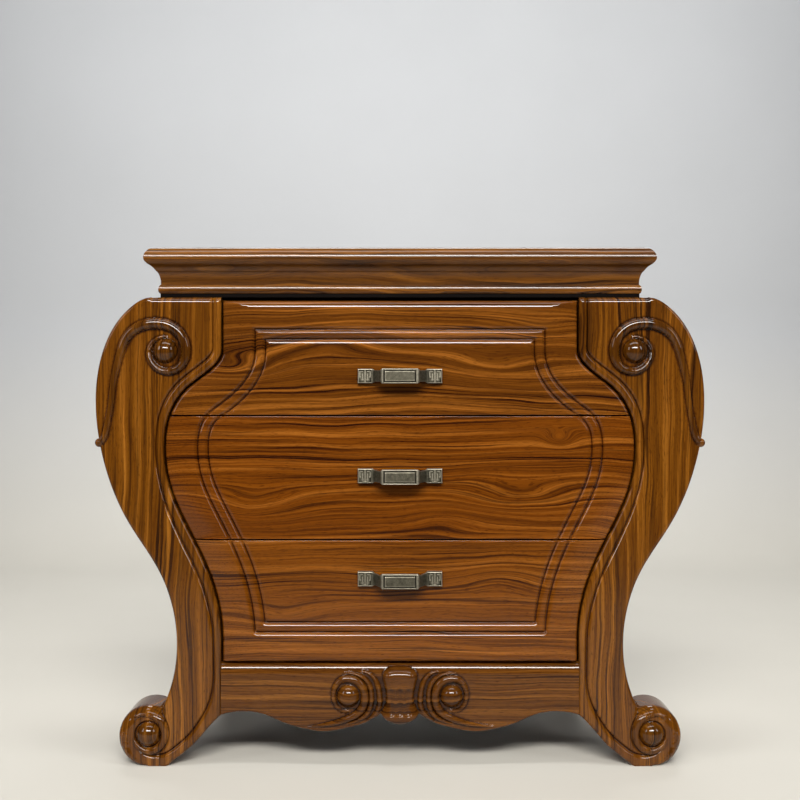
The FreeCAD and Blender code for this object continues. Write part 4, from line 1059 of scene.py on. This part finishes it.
def screw(tree, given):
    """Slotted screws along z, with the faces of their heads on the points."""
    times, _, minus = sums(tree)

    def cylinder(radius, length, top):
        made = node(tree, "GeometryNodeMeshCylinder", {"Vertices": 32, "Radius": radius, "Depth": length})
        place = vector(tree, 0.0, 0.0, minus(top, times(length, 0.5)))
        return node(tree, "GeometryNodeTransform", {"Geometry": made, "Translation": place})

    head = cylinder(given["Head Radius"], given["Head Height"], 0.0)
    shank = cylinder(given["Shank Radius"], given["Shank Length"], times(given["Head Height"], -0.9))
    size = vector(tree, times(given["Head Radius"], 3.0), given["Slot Width"], times(given["Slot Depth"], 2.0))
    slot = node(tree, "GeometryNodeMeshCube", {"Size": size})
    cut = node(tree, "GeometryNodeMeshBoolean", {"Mesh 1": head, "Mesh 2": slot}, operation="DIFFERENCE")
    both = tree.nodes.new("GeometryNodeJoinGeometry")
    for part in (cut, shank):
        tree.links.new(part, both.inputs[0])
    return copied(tree, given, both.outputs[0], Rotation=given["Turn"])


def bars(tree, given):
    """Bars on the points."""
    return copied(tree, given, node(tree, "GeometryNodeMeshCube", {"Size": (1, 1, 1)}))


def points_mesh(name, places, sizes):
    """A mesh of loose points, each with a size."""
    mesh = made_mesh(name, [tuple(p) for p in places], [])
    data = mesh.attributes.new("size", "FLOAT_VECTOR", "POINT").data
    data.foreach_set("vector", np.array(sizes, np.float32).ravel())
    return mesh


def screws(name, body, tree, places, turn, head, length):
    """A group of screws with their heads at the places, which stands for the CAD's group."""
    mesh = points_mesh(name + "_points", places, [(1, 1, 1)] * len(places))
    sizes = head, SCREW_RISE, SCREW_SHANK, length - SCREW_RISE, SLOT_WIDTH, SLOT_DEPTH
    made = grown(name + "_looks", mesh, tree, {**dict(zip(SCREW_INPUTS, sizes)), "Turn": turn, "Material": steel})
    piece(smoothed(made, 30), name + "_slotted", body, steel, "screw_steel", name)


def fret(i, tree):
    """The key pattern on both ends of a pull."""
    level = pull_level(i)
    half, height = PULL_END_WIDE - FRET_RIM, PULL_END_HALF - FRET_RIM
    y = FACE_Y - PULL_END_DEPTH + FRET_RECESS / 2
    places, sizes = [], []
    for x in (-PULL_END_X, PULL_END_X):
        for u, v, wide, tall in FRET_BARS:
            places.append((x + u * half, y, level + v * height))
            sizes.append((2 * wide * half, FRET_RECESS * 1.1, 2 * tall * height))
    name = DRAWERS[i] + "_pull_fret"
    made = grown(name, points_mesh(name + "_points", places, sizes), tree, {"Material": bronze})
    # The raised fret is coloured towards the rubbed bright tone, partly a painted highlight
    return set_shade_and_wear(made, np.full(len(made.vertices), FRET_WEAR_AND_SHEEN))


# Materials

def new_material(name):
    """A material with its node tree and its shader."""
    material = bpy.data.materials.new(name)
    material.use_nodes = True
    return material, material.node_tree, material.node_tree.nodes["Principled BSDF"]


def figured_wood(name, turn, shift, tones, streak=225.0, wander=0.03, gloss=0.8, carved=None, proud=0.6, knots=(),
                 blur=0.06):
    """Solid wood with its grain along the x axis of its turned place: streaks, dark lines and pores.

    The tones are light, middle and dark. Carved wood has painted shade in its hollows, and is darker by the share
    given as proud on all that stands in front of its plane. Knots are places in x and z, with half sizes and how
    far they push the grain. The blur is the roughness of the lacquer.
    """
    light, middle, dark = tones
    material, tree, shader = new_material(name)
    times, plus, minus = sums(tree)
    room = node(tree, "ShaderNodeTexCoord", out="Object")
    x, y, z = split(tree, node(tree, "ShaderNodeMapping", {"Vector": room, "Location": shift, "Rotation": turn}))

    def grid(along, across):
        return vector(tree, times(x, along), times(y, across), times(z, across))

    for along, across, share in GRAIN_BENDS:
        push = split(tree, noise(tree, grid(along, across), 2, out="Color"))
        y = plus(y, times(minus(push[1], 0.5), wander * share))
        z = plus(z, times(minus(push[2], 0.5), wander * share))
    for knot_x, knot_z, wide, tall, lift in knots:
        u = maths(tree, "DIVIDE", minus(x, knot_x + shift[0]), wide)
        v = maths(tree, "DIVIDE", minus(z, knot_z + shift[2]), tall)
        bulge = maths(tree, "EXPONENT", times(plus(times(u, u), times(v, v)), -1.0))
        z = plus(z, times(bulge, lift))
    reach = maths(tree, "SQRT", plus(times(y, y), times(z, z)))

    def layer(along, across, seed, detail):
        return noise(tree, vector(tree, times(x, along), times(reach, streak * across), seed), detail, 0.6)

    shade = [d * 0.35 + m * 0.65 for d, m in zip(dark, middle)]
    colour = ramp(tree, layer(1.1, 0.5, 0.0, 3), [(0.34, shade), (0.50, middle), (0.66, light)])
    lines = layer(3.0, 1.3, 4.0, 4)
    crowd = span(tree, layer(1.8, 0.14, 9.0, 2), 0.60, 0.42, 0.30)
    colour = mixed(tree, times(span(tree, lines, 0.51, 0.39), crowd), colour, (*dark, 1))
    layers = [
        (layer(9.0, 5.0, 2.0, 2), 0.32, (0.76, 0.72, 0.68), 0.60),
        (layer(6.0, 2.7, 6.0, 3), 0.36, (0.66, 0.60, 0.55), 0.52),
        (noise(tree, grid(70.0, 1500.0), 1), 0.30, (0.55, 0.50, 0.45), 0.42),
    ]
    if carved is not None:
        # Painted shade in the hollows of the carving, from the mesh's attribute
        shade_and_wear = node(tree, "ShaderNodeAttribute", out="Fac", attribute_name="shade_and_wear")
        depth = span(tree, split(tree, room)[1], carved - 6 * MM, carved - 0.5 * MM)
        layers += [(shade_and_wear, 0.0, (0.30, 0.23, 0.18), 0.45), (depth, 0.0, (proud, proud, proud), 1.0)]
    for factor, low, tone, high in layers:
        colour = mixed(tree, 1.0, colour, ramp(tree, factor, [(low, tone), (high, (1, 1, 1))]), "MULTIPLY")
    fill(tree, shader, {
        "Base Color": colour, "Roughness": span(tree, lines, 0.3, 0.7, 0.60, 0.48),
        "Specular IOR Level": 0.03 * (1 - gloss), "Coat Weight": gloss, "Coat Roughness": blur, "Coat IOR": 1.42,
    })
    return material


def cast_metal(name, dark, middle, bright, scale, wear_and_sheen_tone=None):
    """Dull cast metal with mottled tones, which can be darker in hollows and rubbed bright on edges, partly a
    painted highlight.
    """
    material, tree, shader = new_material(name)
    spots = noise(tree, node(tree, "ShaderNodeTexCoord", out="Object"), 4.0, 0.6, scale)
    colour = ramp(tree, spots, [(0.3, dark), (0.55, middle), (0.75, bright)])
    if wear_and_sheen_tone:
        shade_and_wear = node(tree, "ShaderNodeAttribute", out="Fac", attribute_name="shade_and_wear")
        deep = ramp(tree, shade_and_wear, [(0.30, (0.16, 0.15, 0.13)), (0.48, (1, 1, 1))])
        # Edges rubbed bright, partly a painted highlight
        shine = ramp(tree, shade_and_wear, [(0.56, (0, 0, 0)), (0.78, (1, 1, 1))])
        colour = mixed(tree, shine, mixed(tree, 1.0, colour, deep, "MULTIPLY"), (*wear_and_sheen_tone, 1))
    rough = span(tree, spots, 0.3, 0.7, 0.55, 0.38)
    fill(tree, shader, {"Base Color": colour, "Roughness": rough, "Metallic": 0.8})
    return material


# How the grain bends: scale along it and across it, and share of its wander
GRAIN_BENDS = (2.4, 6.5, 1.0), (6.0, 15.0, 0.42), (12.0, 42.0, 0.12)

# Tones of the woods: light, middle and dark
FRONT_TONES = (0.22, 0.072, 0.008), (0.123, 0.033, 0.0017), (0.02, 0.004, 0.0004)
UPPER_TONES = (0.22, 0.075, 0.0093), (0.097, 0.029, 0.002), (0.019, 0.004, 0.0004)
# The lower front's tones are lighter, partly painted light that makes up for the lamps lighting it less
LOWER_TONES = (0.227, 0.077, 0.0093), (0.143, 0.042, 0.0027), (0.027, 0.0067, 0.00067)
LEG_TONES = (0.233, 0.087, 0.0093), (0.113, 0.037, 0.0023), (0.023, 0.0067, 0.00067)
APRON_TONES = (0.173, 0.065, 0.0087), (0.1, 0.033, 0.0033), (0.03, 0.0093, 0.001)
TOP_TONES = (0.2, 0.075, 0.0093), (0.09, 0.031, 0.0027), (0.02, 0.0067, 0.001)
# The next two are painted shade: nearly black tones for the rails and the neck, which stand in shadow
RAIL_SHADE_TONES = (0.013, 0.006, 0.0027), (0.008, 0.0033, 0.0013), (0.0033, 0.0013, 0.00067)
NECK_SHADE_TONES = (0.004, 0.002, 0.0013), (0.0027, 0.0013, 0.00067), (0.0013, 0.00067, 0.00067)
FRAME_TONES = (0.307, 0.2, 0.107), (0.24, 0.14, 0.067), (0.147, 0.08, 0.037)
LINING_TONES = (0.413, 0.307, 0.187), (0.347, 0.24, 0.133), (0.24, 0.147, 0.073)
LOWER_KNOTS = ((-0.16, 0.21, 0.05, 0.020, 0.012), (0.14, 0.26, 0.06, 0.022, -0.014))
MIDDLE_KNOTS = (
    (0.22, 0.452, 0.020, 0.010, 0.016), (-0.20, 0.36, 0.07, 0.028, 0.024), (0.06, 0.345, 0.06, 0.02, -0.015),
    (0.17, 0.37, 0.08, 0.02, 0.018),
)
UPPER_KNOTS = (
    (-0.23, 0.548, 0.06, 0.020, 0.026), (-0.10, 0.585, 0.07, 0.018, -0.016), (0.13, 0.55, 0.08, 0.022, 0.020),
    (0.20, 0.61, 0.05, 0.016, 0.012),
)
QUARTER = math.pi / 2
ALONG_X, ALONG_Y, ALONG_Z = (0, 0, 0), (0, 0, QUARTER), (0, QUARTER, 0)
LACQUER = "lacquered_rosewood"
wood = {}
for name, shift, tones, gloss, knots in (
        ("lower", (0.4, 0.26, 0.02), LOWER_TONES, 0.7, LOWER_KNOTS),
        ("middle", (1.7, 0.26, -0.22), FRONT_TONES, 0.8, MIDDLE_KNOTS),
        ("upper", (3.1, 0.30, -0.30), UPPER_TONES, 0.8, UPPER_KNOTS)):
    wood[name] = figured_wood("rosewood_" + name + "_front", ALONG_X, shift, tones, gloss=gloss, carved=FACE_Y,
                              knots=knots)
wood["leg"] = figured_wood("rosewood_legs", ALONG_Z, (0.6, 0.30, 0.1), LEG_TONES, 150.0, 0.032, 0.85, LEG_FRONT)
wood["apron"] = figured_wood("rosewood_apron", ALONG_X, (5.2, 0.16, 0.45), APRON_TONES, gloss=0.7,
                             carved=LEG_FRONT, proud=0.92)
wood["top"] = figured_wood("rosewood_top", ALONG_X, (7.3, 0.35, -0.52), TOP_TONES, blur=0.2)
wood["top_side"] = figured_wood("rosewood_top_sides", ALONG_Y, (2.3, 0.15, -0.50), TOP_TONES, blur=0.2)
wood["side"] = figured_wood("rosewood_sides", ALONG_Z, (4.6, 0.2, 0.3), FRONT_TONES, 150.0)
for key, name, turn, shift, tones, streak in (
        # The rails, bottom panel and neck are nearly black: painted shade for the gaps and the space under the
        # chest
        ("rail", "stained_rails", ALONG_X, (2.6, 0.3, -0.1), RAIL_SHADE_TONES, 225.0),
        ("neck", "stained_neck", ALONG_X, (0.2, 0.3, -0.4), NECK_SHADE_TONES, 225.0),
        ("frame", "frame_wood", ALONG_X, (6.0, 0.3, -0.2), FRAME_TONES, 110.0),
        ("runner", "runner_wood", ALONG_Y, (8.0, 0.3, -0.2), FRAME_TONES, 110.0),
        ("lining", "drawer_lining", ALONG_X, (9.0, 0.3, -0.3), LINING_TONES, 90.0),
        ("lining_side", "drawer_lining_sides", ALONG_Y, (9.5, 0.3, -0.3), LINING_TONES, 90.0)):
    wood[key] = figured_wood(name, turn, shift, tones, streak, gloss=0.0)
bronze = cast_metal("antique_bronze", (0.046, 0.041, 0.027), (0.085, 0.078, 0.055), (0.135, 0.124, 0.089), 260.0,
                    (0.34, 0.31, 0.24))
steel = cast_metal("screw_steel", (0.20, 0.20, 0.19), (0.28, 0.28, 0.27), (0.37, 0.37, 0.36), 900.0)

# Carved pieces
tip = ball("right_knee_ball_looks", (KNEE_BALL[0], LEG_FRONT + KNEE_BALL_DROP, KNEE_BALL[1]), KNEE_BALL_RADIUS)
pair(tip, "right_knee_ball", wood["leg"])
pair(front_leg(), "front_right_leg_carved", wood["leg"], "front_right_leg")
rear = board("rear_right_leg_looks", rear_leg_edges(), REAR_LEG_FRONT, REAR_LEG_BACK, (), REAR_SPACING, 4)
pair(rear, "rear_right_leg_shaped", wood["leg"], "rear_right_leg")
beads = [Groove(bead_loop(order), BEAD_PROFILES[order]) for order in (0, 1)]
for i, name in enumerate(DRAWERS):
    body = name + "_drawer"
    piece(drawer_front(i, beads), body + "_front_beaded", body, wood[name], LACQUER, body + "_front")
piece(apron(), "front_apron_carved", "carcase", wood["apron"], LACQUER, "front_apron")
pair(side_panel(), "right_side_panel_bowed", wood["side"], "right_side_panel")

# Top
moulding_tree = grower("Mitred Moulding", moulding, dict.fromkeys(MOULDING_INPUTS, "Float"))
front_top = top_moulding("top_front_looks", moulding_tree, (-NECK_HALF, NECK_HALF), (1.0, 1.0), (0, -1, 0),
                         (0, NECK_FRONT, TOP_BASE), wood["top"])
piece(front_top, "top_front_moulded", "carcase", wood["top"], LACQUER, "top_front_moulding")
right_top = top_moulding("top_right_looks", moulding_tree, (NECK_FRONT - REAR_LEG_BACK, 0.0), (0.0, 1.0),
                         (1, 0, 0), (NECK_HALF, NECK_FRONT, TOP_BASE), wood["top_side"])
pair(right_top, "top_right_moulded", wood["top_side"], "top_right_moulding")

# Pulls and screws
bar_tree = grower("Fret", bars, {})
screw_tree = grower("Screws", screw, {**dict.fromkeys(SCREW_INPUTS, "Float"), "Turn": "Rotation"})
OUTWARD, DOWNWARD = (-QUARTER, 0, 0), (math.pi, 0, 0)
for i, name in enumerate(DRAWERS):
    body = name + "_drawer"
    piece(pull(i), body + "_pull_cast", body, bronze, "antique_bronze", body + "_pull")
    piece(fret(i, bar_tree), body + "_pull_fret", body, bronze, "antique_bronze")
    low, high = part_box(body + "_pull_screws")
    places = [(side * (high.x - SCREW_HEAD), high.y, (low.z + high.z) / 2) for side in (-1, 1)]
    screws(body + "_pull_screws", body, screw_tree, places, OUTWARD, SCREW_HEAD, high.y - low.y)
low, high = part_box("top_screws")
places = [(x, y, low.z) for x in (low.x + SCREW_HEAD, 0, high.x - SCREW_HEAD)
          for y in (low.y + SCREW_HEAD, high.y - SCREW_HEAD)]
screws("top_screws", "carcase", screw_tree, places, DOWNWARD, SCREW_HEAD, high.z - low.z)
low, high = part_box("back_panel_screws")
rails = [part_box("rear_" + name + "_rail") for name in ("bottom", "lower", "upper", "top")]
places = [(x, high.y, (rail[0].z + rail[1].z) / 2) for x in (low.x + BACK_SCREW_HEAD, 0, high.x - BACK_SCREW_HEAD)
          for rail in rails]
screws("back_panel_screws", "carcase", screw_tree, places, OUTWARD, BACK_SCREW_HEAD, high.y - low.y)

# CAD nodes that are shown as they are, with the first wood whose pattern fits the name
CAD_WOODS = (
    ("neck", "neck_"), ("rail", "bottom_panel|rear_bottom_rail|front_.*_rail"), ("top", "top_"),
    ("lining_side", ".*_side$"), ("lining", ".*_drawer_"), ("runner", ".*_runner|(left|right)_top_rail"),
    ("frame", ""),
)
for name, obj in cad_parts.items():
    if not obj.hide_render:
        obj.data.materials.clear()
        obj.data.materials.append(wood[next(key for key, pattern in CAD_WOODS if re.match(pattern, name))])


# Studio

def stage_material(name, floor, backdrop):
    """A pale matt surface with a faint mottle, one tone on the floor and another on the backdrop."""
    material, tree, shader = new_material(name)
    place = node(tree, "ShaderNodeTexCoord", out="Object")
    tone = ramp(tree, split(tree, place)[2], [(0.0, floor), (0.7, backdrop)])
    mottle = ramp(tree, noise(tree, place, 3.0, scale=3.0), [(0.3, (0.97, 0.97, 0.97)), (0.7, (1, 1, 1))])
    fill(tree, shader, {"Base Color": mixed(tree, 1.0, tone, mottle, "MULTIPLY"), "Roughness": 0.7})
    return material


def sweep_floor():
    """A floor that curves up into a backdrop."""
    half, near, far, radius, height = 4.0, -4.0, 1.4, 0.8, 3.0
    section = [(near, 0.0), (far, 0.0)]
    section += [(far + radius * math.sin(t), radius - radius * math.cos(t)) for t in np.linspace(0.1, QUARTER, 15)]
    section += [(far + radius, height)]
    verts = [(x, y, z) for x in (-half, half) for y, z in section]
    count = len(section)
    faces = [(i, count + i, count + i + 1, i + 1) for i in range(count - 1)]
    obj = linked("floor", smoothed(made_mesh("floor", verts, faces), 60))
    obj.data.materials.append(stage_material("pale_floor", (0.52, 0.50, 0.447), (0.467, 0.477, 0.49)))


def area_light(name, place, target, size, energy, spread=180, colour=(1, 1, 1)):
    """A soft rectangular light that faces a target, within a spread in degrees."""
    light = bpy.data.lights.new(name, "AREA")
    light.shape = "RECTANGLE"
    light.size, light.size_y = size
    light.energy, light.color, light.spread = energy, colour, math.radians(spread)
    obj = linked(name, light)
    obj.location = place
    obj.rotation_euler = (Vector(target) - Vector(place)).to_track_quat("-Z", "Y").to_euler()


sweep_floor()
area_light("key", (0.0, -2.6, 2.0), (0, 0.1, 0.45), (2.4, 0.5), 33, 75, (1.0, 0.98, 0.95))
area_light("overhead", (0.0, -0.7, 2.7), (0, -0.2, 0.3), (2.4, 0.4), 26)
area_light("left", (-2.4, -1.6, 1.7), (0, 0, 0.4), (0.6, 1.2), 5, 100)
area_light("right", (2.4, -1.6, 1.7), (0, 0, 0.4), (0.6, 1.2), 5, 100)
area_light("rear", (0.0, 1.6, 2.3), (0, 0.2, 0.35), (2.4, 0.5), 13.5, 100)
area_light("backdrop", (0.0, 0.8, 2.7), (0, 2.2, 1.3), (3.6, 0.5), 25, 110)

world = bpy.data.worlds.new("studio")
bpy.context.scene.world = world
world.use_nodes = True
fill(world.node_tree, world.node_tree.nodes["Background"], {0: (0.93, 0.96, 1.0, 1), 1: 0.05})

# Camera level with the chest's upper drawer, as in the photo
CAMERA_DISTANCE, CAMERA_HEIGHT = 1.592, 0.535
CAMERA_SENSOR, CAMERA_LENS, CAMERA_SHIFT = 36.0, 51.75, -0.025
camera = bpy.data.cameras.new("camera")
camera.sensor_width, camera.lens, camera.shift_y = CAMERA_SENSOR, CAMERA_LENS, CAMERA_SHIFT
camera_object = linked("camera", camera)
camera_object.location = (0.0, LEG_FRONT - CAMERA_DISTANCE, CAMERA_HEIGHT)
camera_object.rotation_euler = (QUARTER, 0, 0)
bpy.context.scene.camera = camera_object
bpy.context.scene.view_settings.view_transform = "Standard"
